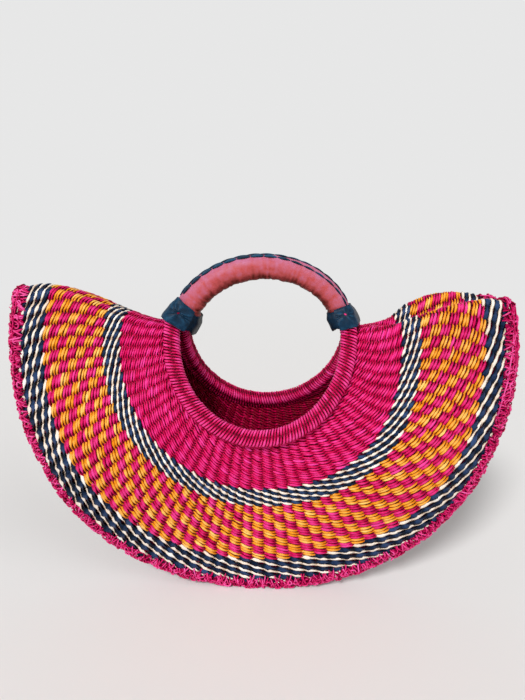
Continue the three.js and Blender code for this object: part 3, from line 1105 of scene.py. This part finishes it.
@dataclass(frozen=True)
class PlaitedBody:
    """Three strands of three straws, plaited along the edge."""

    edge: Edge
    pitch: float = 0.028
    samples: int = 620
    straw_half: float = 0.0014
    straw_gap: float = 0.0017
    margin: float = 0.0034
    middle_share: float = 0.47
    height_share: float = 0.30
    thin_share: float = 0.45
    wanders: Pair = (0.0005, 0.0003)
    wander_knots: tuple[int, int] = (60, 80)
    tone: float = 0.22
    tone_spread: float = 0.15
    tone_knots: int = 90

    def build(self, start: float, word: str) -> None:
        """Makes the plait along the half with this start."""
        at = self.edge.section(self.edge.even_places(start, self.samples), start)
        run = run_length(at.place)
        share = run / run[-1]
        rng = draws(Draw.BORDER_BODY, int(start))
        straws = Straws()
        for strand in range(3):
            phase = FULL_TURN * (run / self.pitch + strand / 3.0)
            for straw in range(3):
                aside = drift(rng, share, self.wander_knots[0], False) * self.wanders[0]
                lift = drift(rng, share, self.wander_knots[1], False) * self.wanders[1]
                reach = at.width * self.middle_share + aside + (straw - 1) * self.straw_gap
                reach += np.sin(phase) * (at.width * 0.5 - self.margin)
                height = np.sin(2.0 * phase) * at.half * self.height_share + lift
                thin = at.half * self.thin_share
                tone = self.tone + self.tone_spread * drift(rng, share, self.tone_knots, False)
                centre = at.point(reach, height)
                straws.add(centre, at.away, at.out, self.straw_half, thin, tone)
        straws.build(f"{word}_edge_plait", BORDER, ("edge_plait",))


@dataclass(frozen=True)
class Whipping:
    """Straws whipped over the border both ways, from one face round the edge to the other."""

    edge: Edge
    strokes: int = 170
    samples: int = 12
    jitter: float = 0.0016
    leans: Pair = (0.003, 0.010)
    overlap: float = 0.0022
    overlap_shares: Pair = (-0.4, 1.0)
    reach_angle: float = math.radians(158.0)
    swells: Pair = (-0.12, 0.10)
    ripple: float = 0.05
    ripple_waves: Pair = (9.0, 40.0)
    lifts: Pair = (-0.0006, 0.0012)
    half_widths: Pair = (0.0007, 0.0010)
    tones: Pair = (0.42, 0.14)
    lift_light_and_shade: float = 200.0

    def build(self, start: float, word: str) -> None:
        """Makes the two layers of whipping on the half with this start."""
        each = (self.strokes, 1)
        share = np.linspace(0.0, 1.0, self.samples)[None]
        turn = mix(self.reach_angle, -self.reach_angle, share)
        c0 = self.edge.even_places(start, self.strokes)[:, None]
        ripple = self.ripple * np.sin(share * self.ripple_waves[0] + c0 * self.ripple_waves[1])
        for number, sign in enumerate((1.0, -1.0)):
            rng = draws(Draw.BORDER_WHIPPING, int(start) + 10 * number)
            jitter = rng.normal(0.0, self.jitter, each)
            lean = sign * rng.uniform(*self.leans, each) * (2.0 * share - 1.0)
            at = self.edge.section(c0 + (jitter + lean) * self.edge.round_per_metre(c0), start)
            inward = rng.uniform(*self.overlap_shares, each) * self.overlap
            swell = 1.0 + rng.uniform(*self.swells, each) + ripple
            lift = rng.uniform(*self.lifts, each)
            reach = (at.width - inward + (at.width + inward) * np.cos(turn) * swell) / 2.0
            centre = at.point(reach, (at.half * swell + lift) * np.sin(turn))
            face, _ = turned(at.away, at.out, turn)
            flat = unit(np.cross(unit(np.gradient(centre, axis=1)), face))
            wide = rng.uniform(*self.half_widths, each)
            # Random tone, plus painted light on raised strokes and painted shade on sunk ones.
            tone = rng.normal(*self.tones, each) + self.lift_light_and_shade * lift
            straws = Straws()
            straws.add(centre, flat, face, wide, STRAW_HALF_THIN, tone)
            straws.build(f"{word}_edge_whipping_{number + 1}", BORDER, ("edge_plait",))


@dataclass(frozen=True)
class Loops:
    """Loops of straw on the outer face of the border, where the stakes' ends turn back."""

    edge: Edge
    count: int = 380
    samples: int = 14
    sizes: Pair = (0.0016, 0.0036)
    openings: Pair = (1.3, 2.7)
    narrowness: Pair = (0.45, 1.0)
    places: Pair = (0.10, 0.74)
    margin: float = 0.0003
    flatness: float = 0.96
    heights: Pair = (0.0007, 0.0020)
    dip: float = 0.0016
    dip_start: float = 0.6
    half_widths: Pair = (0.0006, 0.0009)
    tones: Pair = (0.58, 0.16)
    end_shade: float = 0.25

    def build(self, start: float, word: str) -> None:
        """Makes the loops on the half with this start."""
        each = (self.count, 1)
        rng = draws(Draw.BORDER_LOOPS, int(start))
        sweep = np.linspace(-1.0, 1.0, self.samples)[None]
        c0 = rng.permutation(self.edge.even_places(start, self.count))[:, None]
        size, opening = rng.uniform(*self.sizes, each), rng.uniform(*self.openings, each)
        turn = rng.uniform(-math.pi, math.pi, each) + opening * sweep
        narrow = rng.uniform(*self.narrowness, each)
        aside = size * np.cos(turn)
        at = self.edge.section(c0 + aside * self.edge.round_per_metre(c0), start)
        reach = at.width[:, :1] * rng.uniform(*self.places, each) + size * narrow * np.sin(turn)
        reach = np.clip(reach, self.margin, at.width - self.margin)
        across = 2.0 * reach / at.width - 1.0
        height = at.half * np.sqrt(1.0 - self.flatness * across**2)
        height += rng.uniform(*self.heights, each)
        height -= self.dip * step(np.abs(sweep), self.dip_start, 1.0)
        centre = at.point(reach, height)
        wide = rng.uniform(*self.half_widths, each)
        # Random tone, with painted shade towards the ends, where the loops dip into the border.
        tone = rng.normal(*self.tones, each) - self.end_shade * sweep**2
        straws = Straws()
        straws.add(centre, *lie_flat(centre, at.out), wide, STRAW_HALF_THIN, tone)
        straws.build(f"{word}_edge_loops", BORDER, ("edge_plait",))


@dataclass(frozen=True)
class Tails:
    """The end of each stake, drawn back over the last row of the weave as a narrow V."""

    edge: Edge
    samples: int = 10
    place: float = 0.35
    limbs: tuple[Pair, ...] = ((1.0, 1.0), (-1.0, 0.7))
    leans: Pair = (0.0012, 0.0036)
    lean_middle: float = 0.7
    lengths: Pair = (0.0044, 0.0078)
    short_share: float = 0.15
    front_slope: float = 1.5
    jitter: float = 0.0008
    start_share: float = 0.62
    start_lift: float = 0.0004
    end_height: float = 0.0034
    descent_end: float = 1.0 / 1.5
    dip: float = 0.0030
    dip_start: float = 0.72
    half_widths: Pair = (0.0007, 0.0010)
    tones: Pair = (0.48, 0.22)

    def build(self) -> None:
        """Makes the tails, which are long on the front wall and short elsewhere."""
        each = (STAKES, 1)
        share = np.linspace(0.0, 1.0, self.samples)[None]
        rng = draws(Draw.BORDER_TAILS)
        c0 = self.edge.wall.stake_places(1.0, STAKES, np.arange(STAKES) + self.place)[:, None]
        low = ease(self.front_slope * (1.0 - np.abs(2.0 * np.mod(c0, 1.0) - 1.0)))
        low = mix(self.short_share, 1.0, low * (np.mod(c0, 2.0) < 1.0))
        crest = self.edge.half_thickness + self.start_lift
        height = mix(crest, self.end_height, step(share, 0.0, self.descent_end))
        height -= self.dip * step(share, self.dip_start, 1.0)
        straws = Straws()
        for sign, long_share in self.limbs:
            lean = sign * rng.uniform(*self.leans, each) * (share * 2.0 - self.lean_middle)
            long = rng.uniform(*self.lengths, each) * long_share * low
            aside = rng.normal(0.0, self.jitter, each) + lean
            c = c0 + aside * self.edge.round_per_metre(c0)
            place, _, away, out, _ = self.edge.wall.frames(c, 1.0)
            reach = mix(self.edge.width * self.start_share, -long, share)
            centre = place + away * reach[..., None] + out * height[..., None]
            wide = rng.uniform(*self.half_widths, each)
            tone = rng.normal(*self.tones, each)
            straws.add(centre, *lie_flat(centre, out), wide, STRAW_HALF_THIN, tone)
        straws.build("edge_tails", BORDER, ("edge_plait",))


@dataclass(frozen=True)
class ShortEnds:
    """Short straw ends that stand out of the border."""

    edge: Edge
    samples: int = 6
    lean: float = 0.002
    lean_spread: float = 0.004
    turn_limit: float = 2.2
    length: float = 0.0020
    length_shares: Pair = (0.4, 1.0)
    lifts: Pair = (0.9, 1.06)
    lift_share: float = 0.6
    half_wide: float = 0.0006
    half_thin: float = 0.0004
    taper: float = 0.45
    plumpness: Pair = (0.7, 1.3)
    tones: Pair = (0.62, 0.25)

    def build(
        self, start: float, name: str, finish: StrawFinish, count: int, plump: float
    ) -> None:
        """Makes the ends of one colour.

        Args:
            start: Start of the half of the border.
            name: Name of the piece.
            finish: Straw of the ends.
            count: Number of ends.
            plump: Thickness as a share of the usual one.
        """
        each = (count, 1)
        rng = draws(Draw.BORDER_ENDS, int(start) + count)
        share = np.linspace(0.0, 1.0, self.samples)[None]
        c0 = rng.permutation(self.edge.even_places(start, count))[:, None]
        lean = rng.normal(0.0, self.lean_spread, each) + self.lean
        at = self.edge.section(c0 + lean * share * self.edge.round_per_metre(c0), start)
        turn = rng.uniform(-self.turn_limit, self.turn_limit, each)
        long = rng.uniform(*self.length_shares, each) ** 2 * self.length / plump
        lift = mix(*self.lifts, share) + long * share / self.edge.half_thickness * self.lift_share
        reach = at.width * (0.5 + 0.5 * np.cos(turn) * lift)
        centre = at.point(reach, at.half * np.sin(turn) * lift)
        wide = self.half_wide * plump * (1.0 - self.taper * share)
        wide = wide * rng.uniform(*self.plumpness, each)
        tone = rng.normal(*self.tones, each)
        straws = Straws(sides=5)
        straws.add(centre, at.along, at.out, wide, self.half_thin * plump, tone)
        straws.build(name, finish, ())


@dataclass(frozen=True)
class EdgePlait:
    """The border: a plaited body, straws whipped over it both ways, and loose straw ends."""

    wall: FoldedWall
    ends: int = 170
    pale_ends: int = 44
    pale_plump: float = 1.3

    def build(self) -> None:
        """Makes both halves of the border, and the tails on the weave beside it."""
        edge = Edge(self.wall)
        ends = ShortEnds(edge)
        for start, word in ((0.0, "front"), (2.0, "back")):
            PlaitedBody(edge).build(start, word)
            Whipping(edge).build(start, word)
            Loops(edge).build(start, word)
            ends.build(start, f"{word}_edge_ends", BORDER, self.ends, 1.0)
            ends.build(start, f"{word}_edge_pale_ends", CREAM, self.pale_ends, self.pale_plump)
        Tails(edge).build()


@dataclass(frozen=True)
class Arch:
    """Middle line of the handle."""

    half_width: float = 0.072
    rise: float = 0.058
    centre_height: float = 0.274
    radius: float = 0.0115
    girths: Pair = (1.09, 0.87)
    left_lean: float = 0.0021
    lean_share: float = 0.3
    foot_height: float = 0.2875
    probe: float = 0.002

    def point(self, share: Array) -> Array:
        """Point at a share of the way from the left foot to the right one."""
        foot = math.asin((self.foot_height - self.centre_height) / self.rise)
        angle = mix(math.pi - foot, foot, share)
        x = self.half_width * np.cos(angle) - self.left_lean * step(share, self.lean_share, 0.0)
        return np.stack([x, np.zeros_like(x), self.centre_height + self.rise * np.sin(angle)], -1)

    def girth(self, share: Array | float) -> Array | float:
        """Radius of the leather, which grows slimmer to the right."""
        return self.radius * mix(*self.girths, share)

    def directions(self, share: Array) -> tuple[Array, Array]:
        """Directions outward from the arch, and to the back."""
        along = unit(self.point(share + self.probe) - self.point(share - self.probe))
        back = np.broadcast_to(BACKWARD, along.shape)
        return np.cross(along, back), back


@dataclass(frozen=True)
class Handle:
    """The leather tube, its lacing and its grass core."""

    arch: Arch
    sides: int = 40
    cuts: int = 398
    tone: float = 0.94
    flank_shade: float = 0.32
    flank_shares: Pair = (0.0, 0.5)
    underside_shade: float = 0.46
    under_shares: Pair = (0.58, 0.96)
    line_tone: float = 0.07
    crease_shade: float = 240.0
    creases: int = 170
    crease_places: Pair = (0.03, 0.97)
    crease_widths: Pair = (0.0022, 0.0060)
    crease_depths: Pair = (0.0001, 0.0005)
    crease_slants: Pair = (0.008, 0.004)
    outer_crease: float = 0.10
    dimples: int = 14
    dimple_depth: float = 0.00004
    dimple_rounds: tuple[int, int] = (2, 9)
    dimple_phases: Pair = (0.0, 6.28)
    dimple_waves: Pair = (20.0, 90.0)
    stitches: int = 15
    stitch_samples: int = 9
    lacing_ends: Pair = (0.075, 0.925)
    near_start: float = 0.3
    stitch_length: float = 0.85
    near_length: float = 0.96
    far_length: float = 1.08
    parting_shares: Pair = (0.45, 0.70)
    near_angles: Pair = (-0.42, -0.72)
    near_end_turn: float = -0.20
    far_angles: Pair = (-0.06, -0.02)
    far_end_turn: float = -0.18
    thong_rise: float = 0.0006
    thong_sink: float = 0.0003
    thong_taper: float = 0.6
    thong_ends: Pair = (0.08, 0.92)
    near_widths: Pair = (0.0025, 0.0010)
    far_width: float = 0.0024
    thong_tones: Pair = (0.3, 0.7)
    stem_samples: int = 40
    stem_ring: float = 0.0058
    stem_radius: float = 0.0028
    stem_tone: float = 0.4

    def build(self) -> None:
        """Makes the leather, the thong and the stems."""
        self._leather()
        self._lacing()
        share = np.linspace(0.0, 1.0, self.stem_samples)
        up, back = self.arch.directions(share)
        line, tones = self.arch.point(share), np.full(STEMS_ROUND_ONE + 1, self.stem_tone)
        stems = grass_stems(line, up, back, self.stem_ring, self.stem_radius, tones)
        stems.build("handle_stems", GRASS, ("arch_core",))

    def _leather(self) -> None:
        """Makes the creased leather tube from a cylinder cut into rings and laid on the arch."""
        radius = self.arch.radius
        bpy.ops.mesh.primitive_cylinder_add(vertices=self.sides, radius=radius, depth=1.0)
        cover = bpy.context.object
        cover.name = "handle_leather_cover"
        bpy.ops.object.mode_set(mode="EDIT")
        bpy.ops.mesh.select_mode(type="EDGE")
        bpy.ops.mesh.select_all(action="DESELECT")
        bpy.ops.object.mode_set(mode="OBJECT")
        for edge in cover.data.edges:
            low, high = (cover.data.vertices[end].co.z for end in edge.vertices)
            edge.select = abs(high - low) > 0.5
        bpy.ops.object.mode_set(mode="EDIT")
        bpy.ops.mesh.subdivide(number_cuts=self.cuts)
        bpy.ops.object.mode_set(mode="OBJECT")
        points = read_points(cover)
        share = points[:, 2] + 0.5
        turn = np.arctan2(points[:, 1], points[:, 0])
        under = (1.0 - np.cos(turn)) / 2.0
        crease = self._creases(share, turn, under)
        spoke, _ = turned(*self.arch.directions(share), turn)
        place = self.arch.point(share) + spoke * (self.arch.girth(share) - crease)[:, None]
        lines = draws(Draw.LEATHER_LINES).normal(0.0, self.line_tone, self.cuts + 2)
        lines = lines[np.round(share * (self.cuts + 1)).astype(int)]
        # Painted light: the top is lightest and takes the leather's pale, bluish stop as a painted
        # sky reflection; painted shade on the flanks, on the underside and in the creases. The
        # lines are random tone along the handle.
        tone = self.tone - self.flank_shade * step(under, *self.flank_shares)
        tone -= self.underside_shade * step(under, *self.under_shares)
        tone += lines * (0.5 + 0.5 * under) - crease * self.crease_shade
        shape_leather(cover, place, tone)
        finish_leather(cover, RED_LEATHER, ("handle_leather",))

    def _creases(self, share: Array, turn: Array, under: Array) -> Array:
        """Depth of the leather's cross creases and dimples.

        Args:
            share: Way along the arch.
            turn: Angle round it.
            under: Nearness to the inside of the bend, where creases are deepest.

        Returns:
            Depth below the smooth surface.
        """
        rng = draws(Draw.LEATHER_CREASES)
        depth = np.zeros_like(share)
        reach = mix(self.outer_crease, 1.0, under**2)
        for _ in range(self.creases):
            at, width = rng.uniform(*self.crease_places), rng.uniform(*self.crease_widths)
            line = at + rng.normal(0.0, self.crease_slants[0]) * np.sin(turn)
            line += rng.normal(0.0, self.crease_slants[1]) * np.cos(2.0 * turn)
            groove = np.exp(-(((share - line) / width) ** 2))
            depth += rng.uniform(*self.crease_depths) * reach * groove
        for _ in range(self.dimples):
            waves, phase = rng.integers(*self.dimple_rounds), rng.uniform(*self.dimple_phases)
            swell = np.sin(share * rng.uniform(*self.dimple_waves) + waves * turn + phase)
            depth += self.dimple_depth * swell
        return depth

    def _lacing(self) -> None:
        """Makes two running lines of thong along the seam, side by side at first, then apart."""
        straws = Straws(sides=8)
        rng = draws(Draw.THONG)
        along = np.linspace(0.0, 1.0, self.stitch_samples)[None]
        lens = np.sin(math.pi * mix(*self.thong_ends, along)) ** self.thong_taper
        for is_near in (True, False):
            first = np.arange(self.stitches) + (self.near_start if is_near else 0.0)
            first = mix(*self.lacing_ends, first / self.stitches)
            length = self.stitch_length * (self.near_length if is_near else self.far_length)
            share = first[:, None] + length / self.stitches * along
            parting = step(share, *self.parting_shares)
            end = (2.0 * share - 1.0) ** 2
            if is_near:
                near = self.near_angles[0] + self.near_end_turn * end
                angle = mix(near, self.near_angles[1], parting)
                wide = mix(*self.near_widths, parting)
            else:
                angle = mix(*self.far_angles, parting) + self.far_end_turn * end * (1.0 - parting)
                wide = self.far_width
            height = self.arch.girth(share) + self.thong_rise * np.sin(math.pi * along)
            spoke, flat = turned(*self.arch.directions(share), angle)
            centre = self.arch.point(share) + spoke * (height - self.thong_sink)[..., None]
            tone = rng.uniform(*self.thong_tones, (self.stitches, 1))
            straws.add(centre, flat, spoke, wide * lens, STRAW_HALF_THIN, tone)
        straws.build("handle_thong", BLACK_LEATHER, ("handle_lacing",))


@dataclass(frozen=True)
class Collar:
    """A black leather strip wrapped round one foot of the arch and the hoop ends, and stitched.

    Places on the strip are around, from its hidden end (0) to the edge of its flap (1), and up,
    from its foot (0) to its top (1). Half sizes are to the sides and in depth.
    """

    mouth: Mouth
    arch: Arch
    hand: Hand
    foot_half: Pair = (0.0165, 0.0215)
    top_half: Pair = (0.0138, 0.0142)
    foot_inset: float = 0.005
    foot_angle: float = math.radians(94.5)
    top_share: float = 0.075
    corner_power: float = 0.58
    flap_angle: float = math.radians(-70.0)
    wraps: float = 1.13
    thickness: float = 0.0016
    cuts: tuple[int, int] = (150, 44)
    reach: Pair = (0.15, 0.88)
    tilt: Pair = (0.06, -0.08)
    inner_slope: float = 1.3
    drop_behind: float = 0.18
    back_slope: Pair = (1.2, 0.75)
    shift_behind: float = 1.4
    top_shift: float = 0.2
    shift_slope: Pair = (0.8, 0.5)
    hidden_shares: Pair = (0.28, 0.16)
    hidden_depth: float = 0.0021
    hidden_drop: float = 0.08
    flap_shares: Pair = (0.80, 0.94)
    flap_lift: float = 0.0008
    ripple: float = 0.0002
    ripple_waves: Pair = (7.0, 3.0)
    wave: float = 0.02
    wave_turn: float = 21.0
    end_taper: float = 0.05
    snug: float = 0.85
    snug_shares: Pair = (0.62, 1.0)
    snug_gap: float = 0.0013
    tone: float = 0.60
    back_tone: float = 0.45
    inner_shade: float = 0.34
    inner_shade_slope: float = 1.4
    star_crease_shade: float = 380.0
    pit_shade: float = 300.0
    pit_depth: float = 0.0013
    pit_size: float = 0.0016
    star_depth: float = 0.00135
    star_size: float = 0.0080
    star_hole: float = 0.0018
    star_rays: int = 9
    star_bend: float = 1.2
    star_twist: float = 60.0
    stitch_radius: float = 0.018
    stitch_angle: float = math.radians(-96.0)
    stitch_share: float = 0.55
    stitch_reach: Pair = (0.0035, 0.03)
    stitch_depths: Pair = (0.0007, 0.0012)
    stitch_half: Pair = (0.0008, 0.0006)
    stitch_tones: Pair = (0.1, 0.7)
    stitch_samples: int = 7

    def build(self) -> None:
        """Wraps, thickens and dresses the strip, and sets its stitch."""
        word = self.hand.name.lower()
        columns, rows = self.cuts
        bpy.ops.mesh.primitive_grid_add(x_subdivisions=columns, y_subdivisions=rows, size=1.0)
        strip = bpy.context.object
        strip.name = f"{word}_collar_wrap"
        around, up = (read_points(strip)[:, :2] + 0.5).T
        angle = self._angle(around)
        pit, star = self._puckers(around, up)
        # Painted shade on the back, on the inner side, in the creases round the stitch and in its
        # pit.
        tone = self.tone - self.back_tone * self._behind(angle) - self.star_crease_shade * star
        tone -= self.inner_shade * ease(np.cos(angle) * self.inner_shade_slope) + self.pit_shade * pit
        shape_leather(strip, self._wrap(around, up, pit + star), tone)
        if self.hand is Hand.RIGHT:
            bpy.ops.object.mode_set(mode="EDIT")
            bpy.ops.mesh.select_all(action="SELECT")
            bpy.ops.mesh.flip_normals()
            bpy.ops.object.mode_set(mode="OBJECT")
        bpy.ops.object.modifier_add(type="SOLIDIFY")
        solid = strip.modifiers[0]
        solid.thickness = self.thickness
        solid.offset = -1.0
        bpy.ops.object.modifier_apply(modifier=solid.name)
        finish_leather(strip, BLACK_LEATHER, (f"{word}_collar",))
        self._stitch(word)

    def _ends(self) -> tuple[Array, Array]:
        """Middle of the collar's foot and of its top."""
        hand = self.hand.value
        foot = self.mouth.point(np.array(hand * self.foot_angle), Side.FRONT.value)
        foot = np.array([foot[0] - hand * self.foot_inset, 0.0, foot[2]])
        top = self.arch.point(np.array(self.top_share if hand < 0.0 else 1.0 - self.top_share))
        return foot, top

    def _angle(self, around: Array) -> Array:
        """Angle of the strip's places round the collar."""
        return self.flap_angle - (1.0 - around) * self.wraps * FULL_TURN

    def _behind(self, angle: Array) -> Array:
        """Share of 0 in front to 1 behind."""
        slope, middle = self.back_slope
        return ease(np.sin(angle) * slope + middle)

    def _wrap(self, around: Array, up: Array, sunk: Array) -> Array:
        """Points of the wrapped strip.

        Args:
            around: Way along the strip.
            up: Way from its foot to its top.
            sunk: Depth below the smooth surface.

        Returns:
            Points, as many by three.
        """
        foot, top = self._ends()
        axis = unit(top - foot)
        across = np.array([axis[2], 0.0, -axis[0]])
        angle = self._angle(around)
        behind = self._behind(angle)
        hidden = step(around, *self.hidden_shares)
        height = mix(*self.reach, up * (1.0 - self.hidden_drop * hidden))
        height -= self.drop_behind * behind
        inner = np.clip(np.cos(angle) * self.inner_slope, -1.0, 1.0)
        height += inner * mix(*self.tilt, up) * (1.0 - behind)
        height += self.wave * np.sin(around * self.wave_turn) * (up - 0.5)
        x = square_off(np.cos(angle), self.corner_power)
        y = square_off(np.sin(angle), self.corner_power)
        drawn = 1.0 - self.end_taper * np.abs(2.0 * up - 1.0) ** 4
        depth = sunk + self.hidden_depth * hidden - self.flap_lift * step(around, *self.flap_shares)
        depth += self.ripple * np.sin(up * self.ripple_waves[0] + angle * self.ripple_waves[1])
        snug = self.snug * step(up, *self.snug_shares)
        bound = self.arch.girth(0.0 if self.hand is Hand.LEFT else 1.0) + self.snug_gap
        wide, deep = (
            mix(mix(low, high, height) * drawn - depth, bound, snug)
            for low, high in zip(self.foot_half, self.top_half)
        )
        place = foot + (top - foot) * height[:, None]
        slope, middle = self.shift_slope
        shift = mix(self.shift_behind, self.top_shift, height) * ease(y * slope + middle)
        place[:, 0] += self.mouth.back_shift * shift
        place -= across * (self.hand.value * x * wide)[:, None]
        return place + BACKWARD * (y * deep)[:, None]

    def _puckers(self, around: Array, up: Array) -> tuple[Array, Array]:
        """Depth of the pit at the stitch and of the creases that run from it."""
        foot, top = self._ends()
        swing = (self._angle(around) - self.stitch_angle) * self.stitch_radius
        swing = np.where(around > 0.5, swing, 1.0)
        rise = (up - self.stitch_share) * float(np.linalg.norm(top - foot))
        far = np.hypot(swing, rise)
        turn = np.arctan2(rise, swing)
        pit = self.pit_depth * np.exp(-((far / self.pit_size) ** 2))
        bend = self.star_bend * np.sin(2.0 * turn) + self.star_twist * far
        rays = 0.5 + 0.5 * np.cos(self.star_rays * turn + bend)
        star = self.star_depth * rays * np.exp(-far / self.star_size)
        return pit, star * (1.0 - np.exp(-((far / self.star_hole) ** 2)))

    def _stitch(self, word: str) -> None:
        """Sets the straw stitch in its pit."""
        share = np.linspace(-1.0, 1.0, self.stitch_samples)
        spot = 1.0 - (self.flap_angle - self.stitch_angle) / (self.wraps * FULL_TURN)
        around = spot + self.stitch_reach[0] * share
        up = self.stitch_share + self.stitch_reach[1] * share
        centre = self._wrap(around, up, self.stitch_depths[0] + self.stitch_depths[1] * share**2)
        tone = self.stitch_tones[0 if self.hand is Hand.LEFT else 1]
        straws = Straws()
        straws.add(centre, *lie_flat(centre, -BACKWARD), *self.stitch_half, tone)
        straws.build(f"{word}_collar_stitch", WRAPPING, ())


@dataclass(frozen=True)
class Studio:
    """Pale floor, soft light and the camera of the photograph."""

    focal: float = 36.07
    pitch: float = math.radians(15.1)
    roll: float = math.radians(1.5)
    eye: Triple = (-0.0016, -0.475, 0.383)
    sensor_width: float = 36.0
    clip_start: float = 0.01
    floor_size: float = 40.0
    floor_colour: Colour = (0.80, 0.79, 0.78, 1.0)
    floor_roughness: float = 0.9
    floor_specular: float = 0.1
    fade: Pair = (0.5, 2.4)
    sky_shown: Colour = (0.80, 0.80, 0.80, 1.0)
    room_colour: Colour = (1.0, 1.0, 1.0, 1.0)
    room_strength: float = 0.34
    key_place: Triple = (-0.45, -0.95, 0.95)
    key_strength: float = 2.5
    key_spread: float = math.radians(14.0)
    fill_place: Triple = (0.80, -0.60, 0.70)
    fill_strength: float = 0.6
    fill_spread: float = math.radians(40.0)

    def build(self) -> None:
        """Makes floor, world, lamps and camera."""
        self._floor()
        self._world()
        self._sun("key_sun", self.key_place, self.key_strength, self.key_spread)
        self._sun("fill_sun", self.fill_place, self.fill_strength, self.fill_spread)
        self._camera()
        bpy.context.scene.view_settings.view_transform = "Standard"

    def _floor(self) -> None:
        """Lays the pale floor, which turns into the background well behind the basket."""
        bpy.ops.mesh.primitive_plane_add(size=self.floor_size, location=(0.0, 0.0, 0.0))
        floor = bpy.context.object
        floor.name = "pale_floor"
        made = bpy.data.materials.new("pale_floor")
        made.use_nodes = True
        tree = made.node_tree
        shader = tree.nodes["Principled BSDF"]
        shader.inputs["Base Color"].default_value = self.floor_colour
        shader.inputs["Roughness"].default_value = self.floor_roughness
        shader.inputs["Specular IOR Level"].default_value = self.floor_specular
        place = add_node(tree, "TexCoord").outputs["Object"]
        far = add_node(tree, "VectorMath", {0: place}, operation="LENGTH").outputs["Value"]
        parts = {"Value": far, "From Min": self.fade[0], "From Max": self.fade[1]}
        fade = add_node(tree, "MapRange", parts, interpolation_type="SMOOTHSTEP")
        glow = add_node(tree, "Emission", {"Color": self.sky_shown})
        parts = {0: fade.outputs["Result"], 1: shader.outputs[0], 2: glow.outputs[0]}
        blend = add_node(tree, "MixShader", parts)
        tree.links.new(blend.outputs[0], tree.nodes["Material Output"].inputs["Surface"])
        floor.data.materials.append(made)

    def _world(self) -> None:
        """Lights the scene evenly and shows a pale background."""
        world = bpy.data.worlds.new("pale_room")
        bpy.context.scene.world = world
        world.use_nodes = True
        tree = world.node_tree
        tree.nodes.clear()
        parts = {"Color": self.room_colour, "Strength": self.room_strength}
        light = add_node(tree, "Background", parts)
        shown = add_node(tree, "Background", {"Color": self.sky_shown, "Strength": 1.0})
        path = add_node(tree, "LightPath")
        seen = path.outputs["Is Camera Ray"]
        for other in ("Is Glossy Ray", "Is Transmission Ray"):
            parts = {0: seen, 1: path.outputs[other]}
            seen = add_node(tree, "Math", parts, operation="MAXIMUM").outputs[0]
        parts = {0: seen, 1: light.outputs[0], 2: shown.outputs[0]}
        choose = add_node(tree, "MixShader", parts)
        add_node(tree, "OutputWorld", {"Surface": choose.outputs[0]})

    def _sun(self, name: str, place: Triple, strength: float, spread: float) -> None:
        """Adds a soft, even light.

        Args:
            name: Name of the lamp.
            place: Direction that it comes from.
            strength: Its strength.
            spread: Its spread, which softens its shadows.
        """
        data = bpy.data.lights.new(name, "SUN")
        data.energy = strength
        data.angle = spread
        lamp = bpy.data.objects.new(name, data)
        bpy.context.scene.collection.objects.link(lamp)
        turn = (-Vector(place)).to_track_quat("-Z", "Y").to_matrix().to_4x4()
        lamp.matrix_world = Matrix.Translation(Vector(place)) @ turn

    def _camera(self) -> None:
        """Sets the camera at the photograph's view."""
        data = bpy.data.cameras.new("view")
        data.sensor_fit = "HORIZONTAL"
        data.sensor_width = self.sensor_width
        data.lens = self.focal
        data.clip_start = self.clip_start
        camera = bpy.data.objects.new("view", data)
        bpy.context.scene.collection.objects.link(camera)
        tilt = Matrix.Rotation(math.pi / 2.0 - self.pitch, 4, "X")
        tilt = tilt @ Matrix.Rotation(self.roll, 4, "Z")
        camera.matrix_world = Matrix.Translation(Vector(self.eye)) @ tilt
        bpy.context.scene.camera = camera


def write_sizes() -> None:
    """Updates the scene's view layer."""
    bpy.context.view_layer.update()


def main() -> None:
    """Builds the basket's sub-assemblies in order."""
    bpy.ops.object.select_all(action="DESELECT")
    mouth = Mouth()
    wall = FoldedWall(mouth)
    Weave(wall).build()
    winding = HoopWinding(mouth)
    winding.build(Side.FRONT)
    winding.build(Side.BACK)
    EdgePlait(wall).build()
    arch = Arch()
    Handle(arch).build()
    Collar(
        mouth,
        arch,
        Hand.LEFT,
        foot_half=(0.0170, 0.0215),
        top_half=(0.0152, 0.0142),
        foot_inset=0.0022,
        reach=(0.14, 0.90),
        shift_behind=0.8,
    ).build()
    Collar(
        mouth,
        arch,
        Hand.RIGHT,
        foot_half=(0.0130, 0.0215),
        foot_inset=0.0013,
        flap_angle=math.radians(-78.0),
        stitch_share=0.66,
        reach=(0.22, 0.98),
        tilt=(0.10, 0.0),
        drop_behind=0.10,
        shift_behind=1.0,
    ).build()
    Studio().build()
    write_sizes()


if __name__ == "__main__":
    main()
